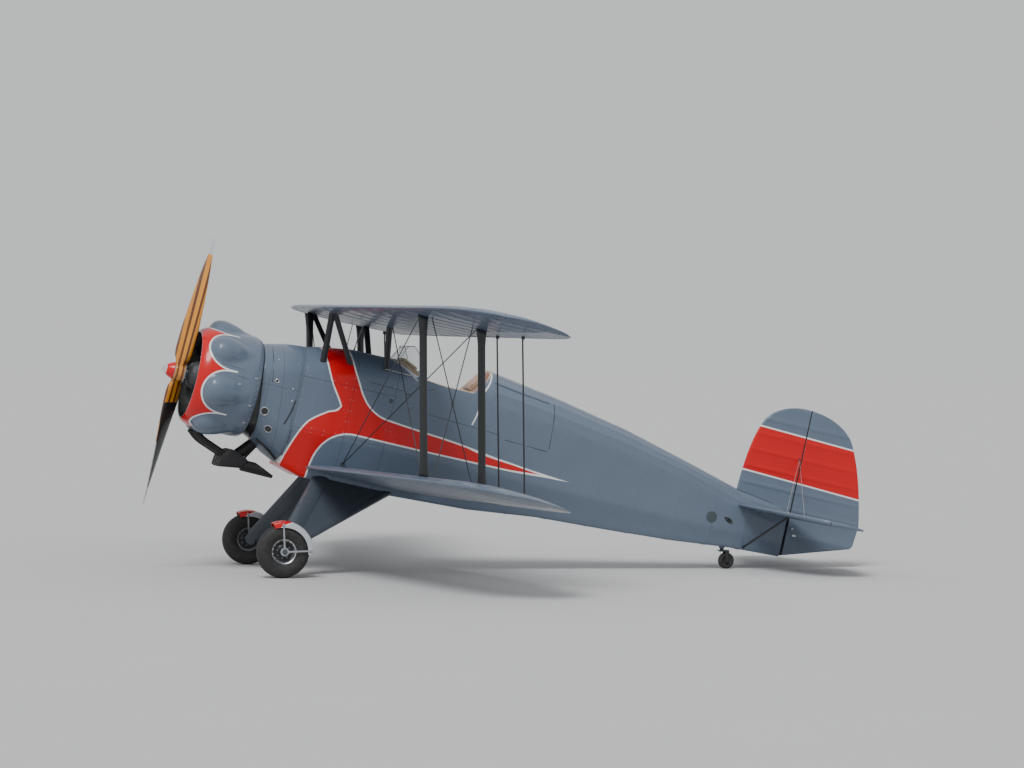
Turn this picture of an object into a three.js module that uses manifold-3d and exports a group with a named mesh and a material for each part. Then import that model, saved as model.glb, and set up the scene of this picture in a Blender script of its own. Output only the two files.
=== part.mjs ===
// A single-seat aerobatic biplane of the 1930s with a seven-cylinder radial engine, parked on its tailwheel.
//
// Millimetres. World frame: +X aft, +Y starboard, +Z up, the ground at z = 0, the origin under the middle of
// the aircraft. The airframe is drawn level, with x aft from the spinner's tip, y to starboard and z up from
// the thrust line. One group then pitches it nose up until the three wheels stand on the ground.

import * as THREE from 'three';
import { mergeVertices } from 'three/addons/utils/BufferGeometryUtils.js';
import Module from 'manifold-3d';

const wasm = await Module();
wasm.setup();

// Driving dimensions
const SPAN = 6600;
const PITCH = THREE.MathUtils.degToRad(12.2);
const NOSE_TO_ORIGIN = 2923;
const GAP = 0.3;
const RUNNING_GAP = 6;

// Wings
const CHORD = 950;
const WING_DEPTH = 98;
const SWEEP = Math.tan(THREE.MathUtils.degToRad(11));
const DIHEDRAL = Math.tan(THREE.MathUtils.degToRad(2.4));
const INCIDENCE = THREE.MathUtils.degToRad(1);
const HALF_SPAN = SPAN / 2;
const CENTRE_HALF = 550;
const UPPER_LEAD = { x: 926, z: 700 };
const LOWER_LEAD = { x: 1220, z: -548 };
const LOWER_ROOT = 180;
const FRONT_SPAR = 165;
const REAR_SPAR = 630;
const STRUT_Y = 2070;
const AILERON = { inner: 1760, outer: 3010, chord: 215, nose: 24 };
const ROD_YS = [1885, 2310];
const ROD_AFT = 130;

// Fuselage and tail
const FIREWALL = 1065;
const COCKPIT_FRONT = 1850;
const COCKPIT_REAR = 2650;
const STERN = 5430;
const RUDDER_HINGE = 5466;
const ELEVATOR_HINGE = 5390;
const TAILPLANE_Z = -55;
const TUBE_RADIUS = 14;

// Engine and propeller
const THRUST_Z = -16;
const COWL_FRONT = 234;
const COWL_REAR = 735;
const COWL_SKIN = 8;
const CYLINDERS = 7;
const CYLINDER_X = 480;
const ACCESSORY_FRONT = 800;
const BAY_TOP_FRONT = 748;
const PROP_X = 142;
const PROP_RADIUS = 1124;
const PROP_PARKED = THREE.MathUtils.degToRad(13.3);

// Undercarriage
const AXLE = { x: 1134, z: -1220 };
const HALF_TRACK = 737;
const TYRE_RADIUS = 210;
const TYRE_WIDTH = 140;
const RIM_RADIUS = 105;
const AXLE_RADIUS = 20;
const TAILWHEEL = { radius: 68, width: 50, x: 4985, pivotX: 4930 };
const TAIL_FORK = { crownZ: 2 * TAILWHEEL.radius + 8, thick: 12, postTop: 172 };

const LIFT = TYRE_RADIUS + AXLE.x * Math.sin(PITCH) - AXLE.z * Math.cos(PITCH);

// Solids

function toSolid(geometry) {
  const bare = geometry.clone();
  bare.deleteAttribute('normal');
  bare.deleteAttribute('uv');
  const merged = mergeVertices(bare, 1e-4);
  return new wasm.Manifold(new wasm.Mesh({
    numProp: 3,
    vertProperties: new Float32Array(merged.attributes.position.array),
    triVerts: new Uint32Array(merged.index.array),
  }));
}

function toGeometry(solid) {
  const mesh = solid.getMesh();
  const geometry = new THREE.BufferGeometry();
  geometry.setAttribute('position', new THREE.BufferAttribute(mesh.vertProperties, 3));
  geometry.setIndex(new THREE.BufferAttribute(mesh.triVerts, 1));
  return geometry;
}

function joined(...solids) {
  return solids.reduce((total, solid) => total.add(solid));
}

function shifted(solid, x, y, z) {
  return solid.translate([x, y, z]);
}

function mirrored(solid) {
  return solid.mirror([0, 1, 0]);
}

// The piece with its neighbour cut out of it, and a thin gap left on each side that a shift points to.
function trimmed(piece, neighbour, ...shifts) {
  return shifts.reduce((rest, shift) => rest.subtract(neighbour.translate(shift)), piece.subtract(neighbour));
}

// The largest of the bodies that a cut leaves, without its slivers.
function mainBody(solid) {
  return solid.decompose().reduce((best, body) => (body.volume() > best.volume() ? body : best));
}

function box(xRange, yRange, zRange) {
  const size = [xRange, yRange, zRange].map(([low, high]) => high - low);
  const middle = [xRange, yRange, zRange].map(([low, high]) => (low + high) / 2);
  return toSolid(new THREE.BoxGeometry(...size).translate(...middle));
}

// A solid skinned over rings of equally many points, each end closed by a fan about its middle.
function loft(rings) {
  const count = rings[0].length;
  const points = rings.flat();
  const index = [];
  for (let ring = 0; ring + 1 < rings.length; ring += 1) {
    for (let k = 0; k < count; k += 1) {
      const next = (k + 1) % count;
      const a = ring * count + k;
      const b = ring * count + next;
      // the two sides of the aircraft are split along mirrored diagonals
      const starboard = points[a].y + points[b].y > 0;
      const [c, d] = [b + count, a + count];
      index.push(...(starboard ? [a, b, c, a, c, d] : [a, b, d, b, c, d]));
    }
  }
  for (const [ring, flip] of [[0, true], [rings.length - 1, false]]) {
    const sum = rings[ring].reduce((total, point) => total.add(point), new THREE.Vector3());
    points.push(sum.divideScalar(count));
    for (let k = 0; k < count; k += 1) {
      const a = ring * count + k;
      const b = ring * count + ((k + 1) % count);
      index.push(points.length - 1, flip ? b : a, flip ? a : b);
    }
  }
  const geometry = new THREE.BufferGeometry().setFromPoints(points);
  geometry.setIndex(volumeOf(points, index) < 0 ? flipped(index) : index);
  return toSolid(geometry);
}

function volumeOf(points, index) {
  let six = 0;
  for (let k = 0; k < index.length; k += 3) {
    const [a, b, c] = [points[index[k]], points[index[k + 1]], points[index[k + 2]]];
    six += a.dot(new THREE.Vector3().crossVectors(b, c));
  }
  return six / 6;
}

function flipped(index) {
  const turned = [];
  for (let k = 0; k < index.length; k += 3) {
    turned.push(index[k], index[k + 2], index[k + 1]);
  }
  return turned;
}

// A round bar between two points, with the radius at each end.
function bar(from, to, radius, endRadius = radius, sides = 12) {
  const start = new THREE.Vector3(...from);
  const along = new THREE.Vector3(...to).sub(start);
  const geometry = new THREE.CylinderGeometry(endRadius, radius, along.length(), sides);
  const upright = new THREE.Vector3(0, 1, 0);
  geometry.applyQuaternion(new THREE.Quaternion().setFromUnitVectors(upright, along.clone().normalize()));
  geometry.translate(...start.addScaledVector(along, 0.5).toArray());
  return toSolid(geometry);
}

// A bent tube of one radius through the given points.
function tube(points, radius, sides = 10, steps = 6) {
  const section = new THREE.Shape().absarc(0, 0, radius, 0, Math.PI * 2);
  const path = new THREE.CatmullRomCurve3(points.map((point) => new THREE.Vector3(...point)));
  return toSolid(new THREE.ExtrudeGeometry(section, { steps, curveSegments: sides / 2, extrudePath: path }));
}

// A shape drawn in the x-z plane and extruded from y = low to y = high.
function sidePlate(shape, low, high, curveSegments = 8) {
  const depth = high - low;
  const geometry = new THREE.ExtrudeGeometry(shape, { depth, bevelEnabled: false, curveSegments });
  geometry.rotateX(Math.PI / 2).translate(0, high, 0);
  return toSolid(geometry);
}

function polygon(points) {
  return new THREE.Shape(points.map(([x, y]) => new THREE.Vector2(x, y)));
}

// A lathe about the x axis: profile rows are [x, radius].
function turnedAboutX(profile, sides) {
  const points = profile.map(([x, radius]) => new THREE.Vector2(radius, x));
  return toSolid(new THREE.LatheGeometry(points, sides).rotateZ(-Math.PI / 2));
}

// A lathe about the y axis: profile rows are [y, radius].
function turnedAboutY(profile, sides) {
  return toSolid(new THREE.LatheGeometry(profile.map(([y, radius]) => new THREE.Vector2(radius, y)), sides));
}

// Wings

// Upper and lower height of the wing section as shares of its depth, at a share of the chord.
function sectionHeights(share) {
  const nose = Math.sqrt(share) * (1 - share);
  const body = share * (1 - share) ** 0.9;
  return { top: 1.05 * nose + 1.1 * body, bottom: -0.75 * nose + 0.28 * body };
}

const CHORD_SHARES = [0, 0.012, 0.05, 0.12, 0.22, 0.36, 0.52, 0.68, 0.84];

function wingRing({ y, lead, trail, z, depth }) {
  const chord = trail - lead;
  const thin = Math.max(depth, 6);
  const edge = 2.5 / thin;
  const at = (share, height) => new THREE.Vector3(
    lead + share * chord * Math.cos(INCIDENCE),
    y,
    z - share * chord * Math.sin(INCIDENCE) + height * thin,
  );
  const top = CHORD_SHARES.slice(1).map((share) => at(share, sectionHeights(share).top));
  const bottom = CHORD_SHARES.slice(1).map((share) => at(share, sectionHeights(share).bottom));
  return [at(0, 0), ...top, at(1, edge), at(1, -edge), ...bottom.reverse()];
}

// Plan form of a panel, from its root out to the rounded tip. Columns: y, shares of the chord cut away at the
// leading and trailing edge, share of the full depth.
const TIP_TABLE = [
  [2600, 0.0, 0.0, 1.0],
  [2800, 0.012, 0.01, 0.94],
  [2960, 0.045, 0.05, 0.82],
  [3080, 0.1, 0.12, 0.68],
  [3180, 0.18, 0.225, 0.5],
  [3250, 0.275, 0.335, 0.34],
  [3290, 0.38, 0.44, 0.18],
  [HALF_SPAN, 0.46, 0.5, 0.08],
];

function leadAt(wing, y) {
  return wing.x + Math.max(Math.abs(y) - wing.straight, 0) * SWEEP;
}

function heightAt(wing, y) {
  return wing.z + Math.max(Math.abs(y) - wing.straight, 0) * DIHEDRAL;
}

const UPPER = {
  x: UPPER_LEAD.x + CENTRE_HALF * SWEEP,
  z: UPPER_LEAD.z + CENTRE_HALF * DIHEDRAL,
  straight: CENTRE_HALF,
};
const LOWER = { x: LOWER_LEAD.x, z: LOWER_LEAD.z, straight: 0 };

function wingPanel(wing, root) {
  const rows = [[root, 0, 0, 1], ...TIP_TABLE];
  return loft(rows.map(([y, leadCut, trailCut, depth]) => {
    const lead = leadAt(wing, y);
    return wingRing({
      y,
      lead: lead + leadCut * CHORD,
      trail: lead + (1 - trailCut) * CHORD,
      z: heightAt(wing, y),
      depth: depth * WING_DEPTH,
    });
  }));
}

// The aileron's hinge line: its axis leaves from the inner end, along the swept rear of the panel.
function aileronFrame(wing) {
  const at = (y) => new THREE.Vector3(
    leadAt(wing, y) + (CHORD - AILERON.chord) * Math.cos(INCIDENCE),
    y,
    heightAt(wing, y) - (CHORD - AILERON.chord) * Math.sin(INCIDENCE) + 12,
  );
  const inner = at(AILERON.inner);
  const outer = at(AILERON.outer);
  const along = outer.clone().sub(inner);
  const length = along.length();
  along.normalize();
  const up = new THREE.Vector3(0, 0, 1).addScaledVector(along, -along.z).normalize();
  const aft = new THREE.Vector3().crossVectors(along, up);
  const matrix = new THREE.Matrix4().makeBasis(aft, up, along).setPosition(inner);
  return { inner, along, length, matrix };
}

// What the aileron takes from the wing: all behind the hinge line and a round nose about it.
function aileronSpace(frame, nose, endGap) {
  const shape = new THREE.Shape();
  shape.moveTo(420, -160);
  shape.lineTo(420, 160);
  shape.lineTo(0, 160);
  shape.lineTo(0, nose);
  shape.absarc(0, 0, nose, Math.PI / 2, Math.PI * 1.5, false);
  shape.lineTo(0, -160);
  const depth = frame.length + 2 * endGap;
  const geometry = new THREE.ExtrudeGeometry(shape, { depth, bevelEnabled: false, curveSegments: 6 });
  geometry.translate(0, 0, -endGap);
  // The basis (aft, up, along) is left-handed about x-y-z order, so the faces are turned back.
  geometry.applyMatrix4(frame.matrix);
  return toSolid(rightWayOut(geometry));
}

function rightWayOut(geometry) {
  const flat = geometry.index ? geometry.toNonIndexed() : geometry;
  const position = flat.attributes.position;
  const points = [];
  for (let k = 0; k < position.count; k += 1) {
    points.push(new THREE.Vector3().fromBufferAttribute(position, k));
  }
  const index = points.map((_, k) => k);
  const turned = new THREE.BufferGeometry().setFromPoints(points);
  turned.setIndex(volumeOf(points, index) < 0 ? flipped(index) : index);
  return turned;
}

// A box in the aileron's own frame: ranges aft of the axis, up from it and along it.
function hingeBox(frame, aft, up, along) {
  const size = [aft, up, along].map(([low, high]) => high - low);
  const middle = [aft, up, along].map(([low, high]) => (low + high) / 2);
  const geometry = new THREE.BoxGeometry(...size).translate(...middle).applyMatrix4(frame.matrix);
  return toSolid(rightWayOut(geometry));
}

const HINGE_ARM_SHARES = [0.06, 0.5, 0.94];
const HORN = { thick: 4, half: 14, standing: 30, hanging: 44 };

// One wing panel and its aileron, both for the starboard side. hornUp is +1 where the link rods stand on the
// aileron and -1 where they hang under it.
function panelAndAileron(wing, root, hornUp) {
  const whole = wingPanel(wing, root);
  const frame = aileronFrame(wing);
  let panel = whole.subtract(aileronSpace(frame, AILERON.nose + RUNNING_GAP, RUNNING_GAP));
  for (const share of HINGE_ARM_SHARES) {
    const middle = share * frame.length;
    panel = panel.add(hingeBox(
      frame,
      [-AILERON.nose - 30, -AILERON.nose - GAP],
      [-8, 8],
      [middle - 7, middle + 7],
    ));
  }
  let aileron = whole.intersect(aileronSpace(frame, AILERON.nose, 0));
  for (const y of ROD_YS) {
    const along = (y - frame.inner.y) / frame.along.y;
    const up = hornUp > 0 ? [0, HORN.standing] : [-HORN.hanging, 0];
    aileron = aileron.add(hingeBox(
      frame,
      [ROD_AFT - HORN.half, ROD_AFT + HORN.half],
      up,
      [along, along + HORN.thick],
    ));
  }
  return { panel, aileron, frame };
}

// The eye of a link rod: a point beside the horn, in the aileron's frame.
function eyePoint(frame, y, hornUp) {
  const along = (y - frame.inner.y) / frame.along.y - GAP;
  const up = hornUp > 0 ? HORN.standing - 10 : 10 - HORN.hanging;
  return new THREE.Vector3(ROD_AFT, up, along).applyMatrix4(frame.matrix);
}

function linkRod(lower, upper, y) {
  const eye = (frame, point) => {
    const end = point.clone().addScaledVector(frame.along, -12);
    return bar(end.toArray(), point.toArray(), 9);
  };
  const foot = eyePoint(lower, y, 1);
  const head = eyePoint(upper, y, -1);
  const footMiddle = foot.clone().addScaledVector(lower.along, -6);
  const headMiddle = head.clone().addScaledVector(upper.along, -6);
  return joined(
    bar(footMiddle.toArray(), headMiddle.toArray(), 6.5, 6.5, 8),
    eye(lower, foot),
    eye(upper, head),
  );
}

// A streamlined strut section in a plane of constant z: half-chords and half-width about a middle point.
function strutRing(x, y, z, chord, thick) {
  const ring = [];
  for (let k = 0; k < 12; k += 1) {
    const angle = (k / 12) * Math.PI * 2;
    const along = Math.cos(angle);
    const taper = along > 0 ? 1 : 0.92;
    ring.push(new THREE.Vector3(x + along * chord * 0.5, y + Math.sin(angle) * thick * 0.5 * taper, z));
  }
  return ring;
}

// A strut between two points. Its ends widen where it meets the wings. Columns: share of the length, chord,
// thickness.
const STRUT_TABLE = [
  [0, 96, 34],
  [0.05, 78, 30],
  [0.12, 62, 27],
  [0.88, 62, 27],
  [0.95, 78, 30],
  [1, 96, 34],
];

function strut(foot, head, table = STRUT_TABLE) {
  return loft(table.map(([share, chord, thick]) => {
    const [x, y, z] = foot.map((value, k) => value + share * (head[k] - value));
    return strutRing(x, y, z, chord, thick);
  }));
}

// The middle of a strut's end, in the wing that holds it.
function strutEnd(wing, aft) {
  return [leadAt(wing, STRUT_Y) + aft, STRUT_Y, heightAt(wing, STRUT_Y) + 5];
}

// Main stays. Each wire ends inside the wing that it is fastened to, and the wing is then cut out of it.
const WIRE = { radius: 4, sides: 6, root: [1550, 288, -450], inboard: 34, offStrut: 64 };
const BOSS_RADIUS = 16;

function wire(from, to) {
  return bar(from, to, WIRE.radius, WIRE.radius, WIRE.sides);
}

// Two flying wires from one boss on the body, and the landing wire that they cross.
function bayWires(body, lowerPanel, upperPanel, centre) {
  const beside = ([x, y, z]) => [x, y - WIRE.inboard, z];
  const { root } = WIRE;
  const rearTop = beside(strutEnd(UPPER, REAR_SPAR));
  const landingTop = [1640, 462, UPPER.z + 30];
  const landingFoot = beside(strutEnd(LOWER, FRONT_SPAR));
  const between = (from, to, share) => from.map((value, k) => value + share * (to[k] - value));
  const wires = joined(
    bar([root[0], root[1] - 50, root[2]], [root[0], root[1] + 8, root[2]], BOSS_RADIUS, BOSS_RADIUS, 12),
    wire(root, beside(strutEnd(UPPER, FRONT_SPAR))),
    wire(root, rearTop),
    wire(landingFoot, landingTop),
    wire(between(root, rearTop, 0.517), between(landingTop, landingFoot, 0.472)),
  );
  const clearOfBody = trimmed(wires, body, [0, GAP, 0]);
  const clearOfLower = trimmed(clearOfBody, lowerPanel, [0, 0, GAP]);
  return trimmed(clearOfLower, joined(upperPanel, centre), [0, 0, -GAP]);
}

// The crossed wires between the two struts of a side, with a round clip where they meet.
function incidenceWires(lowerPanel, upperPanel) {
  const [frontFoot, rearFoot] = [FRONT_SPAR + WIRE.offStrut, REAR_SPAR - WIRE.offStrut];
  const ends = [frontFoot, rearFoot].map((aft) => [strutEnd(LOWER, aft), strutEnd(UPPER, aft)]);
  const [[footA, headA], [footB, headB]] = ends;
  const clip = footA.map((value, k) => (value + headA[k] + footB[k] + headB[k]) / 4);
  const wires = joined(
    wire(footA, headB),
    wire(footB, headA),
    bar([clip[0], clip[1] - 9, clip[2]], [clip[0], clip[1] + 9, clip[2]], 11, 11, 12),
  );
  return trimmed(trimmed(wires, lowerPanel, [0, 0, GAP]), upperPanel, [0, 0, -GAP]);
}

// Fuselage

// Stations of the fuselage. Columns: x, half-width, top, shoulder, lower longeron, bottom, half-width there.
const STATIONS = [
  [1065, 318, 402, 150, -255, -572, 215],
  [1240, 326, 436, 195, -262, -622, 225],
  [1470, 330, 470, 250, -265, -628, 230],
  [1850, 330, 472, 290, -265, -622, 232],
  [2000, 328, 486, 300, -265, -616, 232],
  [2650, 302, 556, 290, -262, -590, 214],
  [3245, 262, 466, 232, -266, -528, 186],
  [3895, 205, 343, 150, -279, -500, 146],
  [4470, 150, 200, 50, -283, -467, 108],
  [4980, 92, 66, -85, -282, -420, 66],
  [5430, 30, 10, -150, -290, -404, 22],
];

function stationAt(x) {
  const after = STATIONS.findIndex((row) => row[0] >= x);
  if (after <= 0) {
    return STATIONS[0];
  }
  const [low, high] = [STATIONS[after - 1], STATIONS[after]];
  const share = (x - low[0]) / (high[0] - low[0]);
  return low.map((value, k) => value + share * (high[k] - value));
}

const ARCH_STEPS = 6;

// The outline of the body at a station, drawn in by a wall's thickness where it is a hollow.
function bodyRing(x, wall = 0) {
  const [, half, top, shoulder, lower, bottom, foot] = stationAt(x);
  const ring = [];
  const rise = top - shoulder - wall;
  for (let k = 0; k <= ARCH_STEPS * 2; k += 1) {
    const angle = (k / (ARCH_STEPS * 2)) * Math.PI;
    ring.push(new THREE.Vector3(x, -Math.cos(angle) * (half - wall), shoulder + Math.sin(angle) * rise));
  }
  ring.push(new THREE.Vector3(x, half - wall, lower));
  ring.push(new THREE.Vector3(x, foot - wall * 0.8, bottom + wall));
  ring.push(new THREE.Vector3(x, -foot + wall * 0.8, bottom + wall));
  ring.push(new THREE.Vector3(x, -half + wall, lower));
  return ring;
}

function bodyBetween(front, rear, wall = 0) {
  const xs = [front, ...STATIONS.map((row) => row[0]).filter((x) => x > front && x < rear), rear];
  return loft(xs.map((x) => bodyRing(x, wall)));
}

const WALL = 22;
const FOOTWELL_FRONT = 1480;
const RIM_Z = 345;
const SEAT_BACK_X = 2585;

function frontFuselage() {
  const shell = bodyBetween(FIREWALL + GAP, COCKPIT_FRONT);
  const footwell = bodyBetween(FOOTWELL_FRONT, COCKPIT_FRONT + 10, 40).intersect(
    box([FOOTWELL_FRONT, COCKPIT_FRONT + 10], [-400, 400], [-560, 190]),
  );
  return shell.subtract(footwell);
}

// The deck's slanted front, from its foot up to the crown, carries the headrest.
const DECK_FRONT = { foot: [2478, RIM_Z - 6], head: [2642, 552] };

// The side view of what is open above the cockpit, from the windscreen's ends to the slanted deck front.
const OPENING_OUTLINE = polygon([
  [2010, 700],
  [2010, RIM_Z + 14],
  [2060, RIM_Z + 8],
  [2250, RIM_Z - 8],
  DECK_FRONT.foot,
  DECK_FRONT.head,
  [2790, 700],
]);

// In plan the opening's front is half an ellipse about its wide end.
const OPENING_FRONT = { x: 2012, reach: 112, half: 262 };

function openingFront() {
  const { x, reach, half } = OPENING_FRONT;
  const round = new THREE.Shape().absellipse(x, 0, reach, half, 0, Math.PI * 2);
  const geometry = new THREE.ExtrudeGeometry(round, { depth: 500, bevelEnabled: false, curveSegments: 14 });
  return toSolid(geometry.translate(0, 0, 200)).intersect(box([1700, x], [-400, 400], [150, 750]));
}

function deckHeight(x, y) {
  const [, half, top, shoulder] = stationAt(x);
  return shoulder + (top - shoulder) * Math.sqrt(1 - (y / half) ** 2);
}

function cockpitShell() {
  const shell = bodyBetween(COCKPIT_FRONT + GAP, COCKPIT_REAR);
  const hollow = bodyBetween(COCKPIT_FRONT - 10, SEAT_BACK_X, WALL);
  const wellUnderDeck = box([SEAT_BACK_X - 400, SEAT_BACK_X], [-400, 400], [-600, 330]);
  const inside = joined(
    hollow.intersect(box([COCKPIT_FRONT - 10, DECK_FRONT.foot[0]], [-400, 400], [-600, 700])),
    hollow.intersect(wellUnderDeck),
  );
  return shell.subtract(inside).subtract(sidePlate(OPENING_OUTLINE, -420, 420)).subtract(openingFront());
}

function rearFuselage() {
  const bore = TUBE_RADIUS + 0.6;
  const ends = [-200, 200].map((y) => [ELEVATOR_HINGE, y, TAILPLANE_Z]);
  const swivelHousing = bar(onSwivel(TAIL_FORK.postTop), onSwivel(TAIL_FORK.postTop + 40), 24, 24, 20);
  return bodyBetween(COCKPIT_REAR + GAP, STERN).subtract(bar(...ends, bore, bore, 24)).add(swivelHousing);
}

// Engine bay

// Nose ring of the cowl. Rows: x, outer radius.
const COWL_PROFILE = [
  [COWL_FRONT, 356],
  [242, 368],
  [256, 379],
  [280, 392],
  [320, 404],
  [400, 412],
  [640, 412],
  [696, 407],
  [COWL_REAR, 388],
];

// A blister's section is an ellipse about a line that runs aft at one radius. Columns: x, share of its size.
const BLISTER = { x: 412, radius: 356, width: 130, height: 122 };
const BLISTER_TABLE = [
  [286, 0.02],
  [304, 0.42],
  [330, 0.76],
  [364, 0.94],
  [BLISTER.x, 1],
  [509, 0.86],
  [586, 0.62],
  [650, 0.44],
  [706, 0.02],
];

function blister(angle, inset) {
  const rings = BLISTER_TABLE.map(([x, share]) => {
    const wide = Math.max(BLISTER.width * share - inset, 1);
    const high = Math.max(BLISTER.height * share - inset, 1);
    return Array.from({ length: 12 }, (_, k) => {
      const turn = (k / 12) * Math.PI * 2;
      const point = [x, Math.sin(turn) * wide, BLISTER.radius + Math.cos(turn) * high];
      return new THREE.Vector3(...point).applyAxisAngle(new THREE.Vector3(1, 0, 0), -angle);
    });
  });
  return loft(rings);
}

const CYLINDER_ANGLES = Array.from({ length: CYLINDERS }, (_, k) => (k / CYLINDERS) * Math.PI * 2);

function engineCowl() {
  const outline = (inset) => turnedAboutX(
    [[COWL_FRONT - inset, 0], ...COWL_PROFILE.map(([x, radius], k) => {
      const end = k === 0 ? -inset : (k === COWL_PROFILE.length - 1 ? inset : 0);
      return [x + end, radius - inset];
    }), [COWL_REAR + inset, 0]],
    35,
  );
  const outer = joined(outline(0), ...CYLINDER_ANGLES.map((angle) => blister(angle, 0)));
  const inner = joined(outline(COWL_SKIN), ...CYLINDER_ANGLES.map((angle) => blister(angle, COWL_SKIN)));
  return outer.subtract(inner);
}

function engine() {
  const crankcase = turnedAboutX([
    [208, 0], [208, 52], [226, 84], [290, 118], [360, 128], [372, 158], [600, 158], [616, 130], [740, 124],
    [744, 300], [ACCESSORY_FRONT, 300], [ACCESSORY_FRONT, 0],
  ], 28);
  const parts = [crankcase];
  // A thin pillar on each cylinder head carries the cowl at the crown of its blister.
  const crown = BLISTER.radius + BLISTER.height - COWL_SKIN - 0.9;
  for (const angle of CYLINDER_ANGLES) {
    const out = (radius, x = CYLINDER_X) => [x, Math.sin(angle) * radius, Math.cos(angle) * radius];
    parts.push(bar(out(120), out(350), 66, 60, 12));
    parts.push(bar(out(345), out(392), 46, 38, 8));
    parts.push(bar(out(366, CYLINDER_X - 16), out(crown, BLISTER.x), 8, 1.2, 6));
    parts.push(bar(out(150, CYLINDER_X - 92), out(360, CYLINDER_X - 60), 9, 9, 6));
  }
  return joined(...parts);
}

// The sheet-metal bay between the engine and the firewall. Columns: x, half-width, top, shoulder, lower,
// bottom, half-width at the bottom.
const BAY_STATIONS = [
  [ACCESSORY_FRONT, 330, 352, 60, -110, -425, 130],
  [930, 330, 392, 110, -190, -500, 170],
  [FIREWALL, 322, 406, 152, -255, -560, 205],
];

// The bay's front edge leans: it is nearest to the cowl at the top.
function bayFront(z) {
  return BAY_TOP_FRONT + Math.max(0, 100 - z) * 0.13;
}

function accessoryCowl() {
  return loft(BAY_STATIONS.map(([x, half, top, shoulder, lower, bottom, foot], station) => {
    const ring = [];
    for (let k = 0; k <= 16; k += 1) {
      const angle = (k / 16) * Math.PI;
      ring.push(new THREE.Vector3(x, -Math.cos(angle) * half, shoulder + Math.sin(angle) * (top - shoulder)));
    }
    for (let k = 0; k <= 8; k += 1) {
      const angle = (k / 8) * Math.PI;
      const wide = foot + (half - foot) * Math.abs(Math.cos(angle)) ** 0.8;
      ring.push(new THREE.Vector3(x, Math.cos(angle) * wide, lower + Math.sin(angle) * (bottom - lower)));
    }
    if (station === 0) {
      for (const point of ring) {
        point.x = bayFront(point.z);
      }
    }
    return ring;
  }));
}

// The twin pipes join in a wedge-shaped box. A stack leads up from it to the bay, and a tail pipe leaves its
// rear with a long slanted cut across the end.
const EXHAUST_BOX = [[598, -589], [587, -683], [795, -655], [822, -583], [700, -532], [659, -530]];
const TAIL_PIPE = { y: -110, z: -634, radius: 46, wall: 5, front: 780, rear: 1046 };

function exhaust(cowl, bay) {
  const { y, z, radius, wall, front, rear } = TAIL_PIPE;
  const pipe = bar([front, y, z], [rear, y, z - 6], radius, radius, 16);
  const bore = bar([836, y, z - 1], [rear + 10, y, z - 6], radius - wall, radius - wall, 16);
  const above = polygon([[822, -560], [1050, -664], [1080, -560]]);
  const pieces = [
    tube([[352, -120, -440], [430, -125, -500], [540, -120, -545], [660, -110, -590]], 27),
    tube([[352, 120, -440], [430, 125, -500], [540, 120, -545], [660, 110, -590]], 27),
    sidePlate(polygon(EXHAUST_BOX), -160, 160),
    bar([742, 0, -570], [860, 0, -440], 46, 46, 16),
    bar([806, 0, -590], [884, 0, -466], 9, 9, 8),
    pipe.subtract(bore).subtract(sidePlate(above, -300, 300)),
  ];
  return mainBody(trimmed(trimmed(joined(...pieces), cowl, [0, 0, -GAP]), bay, [0, 0, -GAP]));
}

// A wooden blade. Columns: radius, chord, thickness, angle from the disc in degrees.
const BLADE_TABLE = [
  [30, 84, 72, 50],
  [80, 92, 66, 50],
  [120, 140, 72, 52],
  [180, 162, 68, 51],
  [283, 166, 56, 47],
  [430, 176, 42, 37],
  [577, 176, 30, 30],
  [724, 160, 22, 25],
  [870, 124, 15, 21.5],
  [981, 80, 10, 19],
  [1090, 52, 7, 18],
  [PROP_RADIUS, 18, 5, 18],
];

function blade() {
  const steps = 12;
  return loft(BLADE_TABLE.map(([radius, chord, thick, degrees]) => {
    const angle = THREE.MathUtils.degToRad(degrees);
    const ring = [];
    for (let k = 0; k < steps; k += 1) {
      const turn = (k / steps) * Math.PI * 2;
      const along = Math.cos(turn) * chord * 0.5;
      const out = Math.sin(turn) * thick * (Math.sin(turn) > 0 ? 0.62 : 0.38);
      // along runs from the trailing to the leading edge, out to the front of the disc
      const x = -along * Math.sin(angle) - out * Math.cos(angle);
      const y = along * Math.cos(angle) - out * Math.sin(angle);
      ring.push(new THREE.Vector3(PROP_X + x, y, radius));
    }
    return ring;
  }));
}

const SPINNER_BASE = 96;

function propeller() {
  const single = blade();
  const hubFront = SPINNER_BASE + GAP;
  const hub = turnedAboutX([
    [hubFront, 0], [hubFront, 70], [118, 74], [176, 74], [184, 52], [207.5, 46], [207.5, 0],
  ], 20);
  const level = joined(single, single.rotate([180, 0, 0]), hub);
  return level.rotate([THREE.MathUtils.radToDeg(PROP_PARKED), 0, 0]);
}

function spinner() {
  return turnedAboutX([
    [0, 0], [5, 12], [16, 24], [40, 42], [72, 60], [SPINNER_BASE, 69], [SPINNER_BASE, 0],
  ], 24);
}

// Tail

function finAndRudderOutline() {
  const shape = new THREE.Shape();
  shape.moveTo(RUDDER_HINGE + 2, -402);
  shape.lineTo(4940, -402);
  shape.lineTo(4948, 105);
  shape.bezierCurveTo(4958, 330, 4990, 600, 5082, 724);
  shape.bezierCurveTo(5150, 808, 5290, 852, 5400, 853);
  shape.bezierCurveTo(5600, 852, 5760, 790, 5846, 684);
  shape.bezierCurveTo(5930, 560, 6010, 330, 6052, 129);
  shape.bezierCurveTo(6090, -20, 6112, -180, 6028, -222);
  shape.lineTo(5882, -270);
  shape.lineTo(5628, -357);
  shape.lineTo(RUDDER_HINGE, -386);
  shape.closePath();
  return shape;
}

// A flat tail surface with its edges thinned: the outline as a slab, cut to a lens in section.
function tailSlab(outline, thick) {
  return sidePlate(outline, -thick / 2, thick / 2, 10);
}

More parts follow.
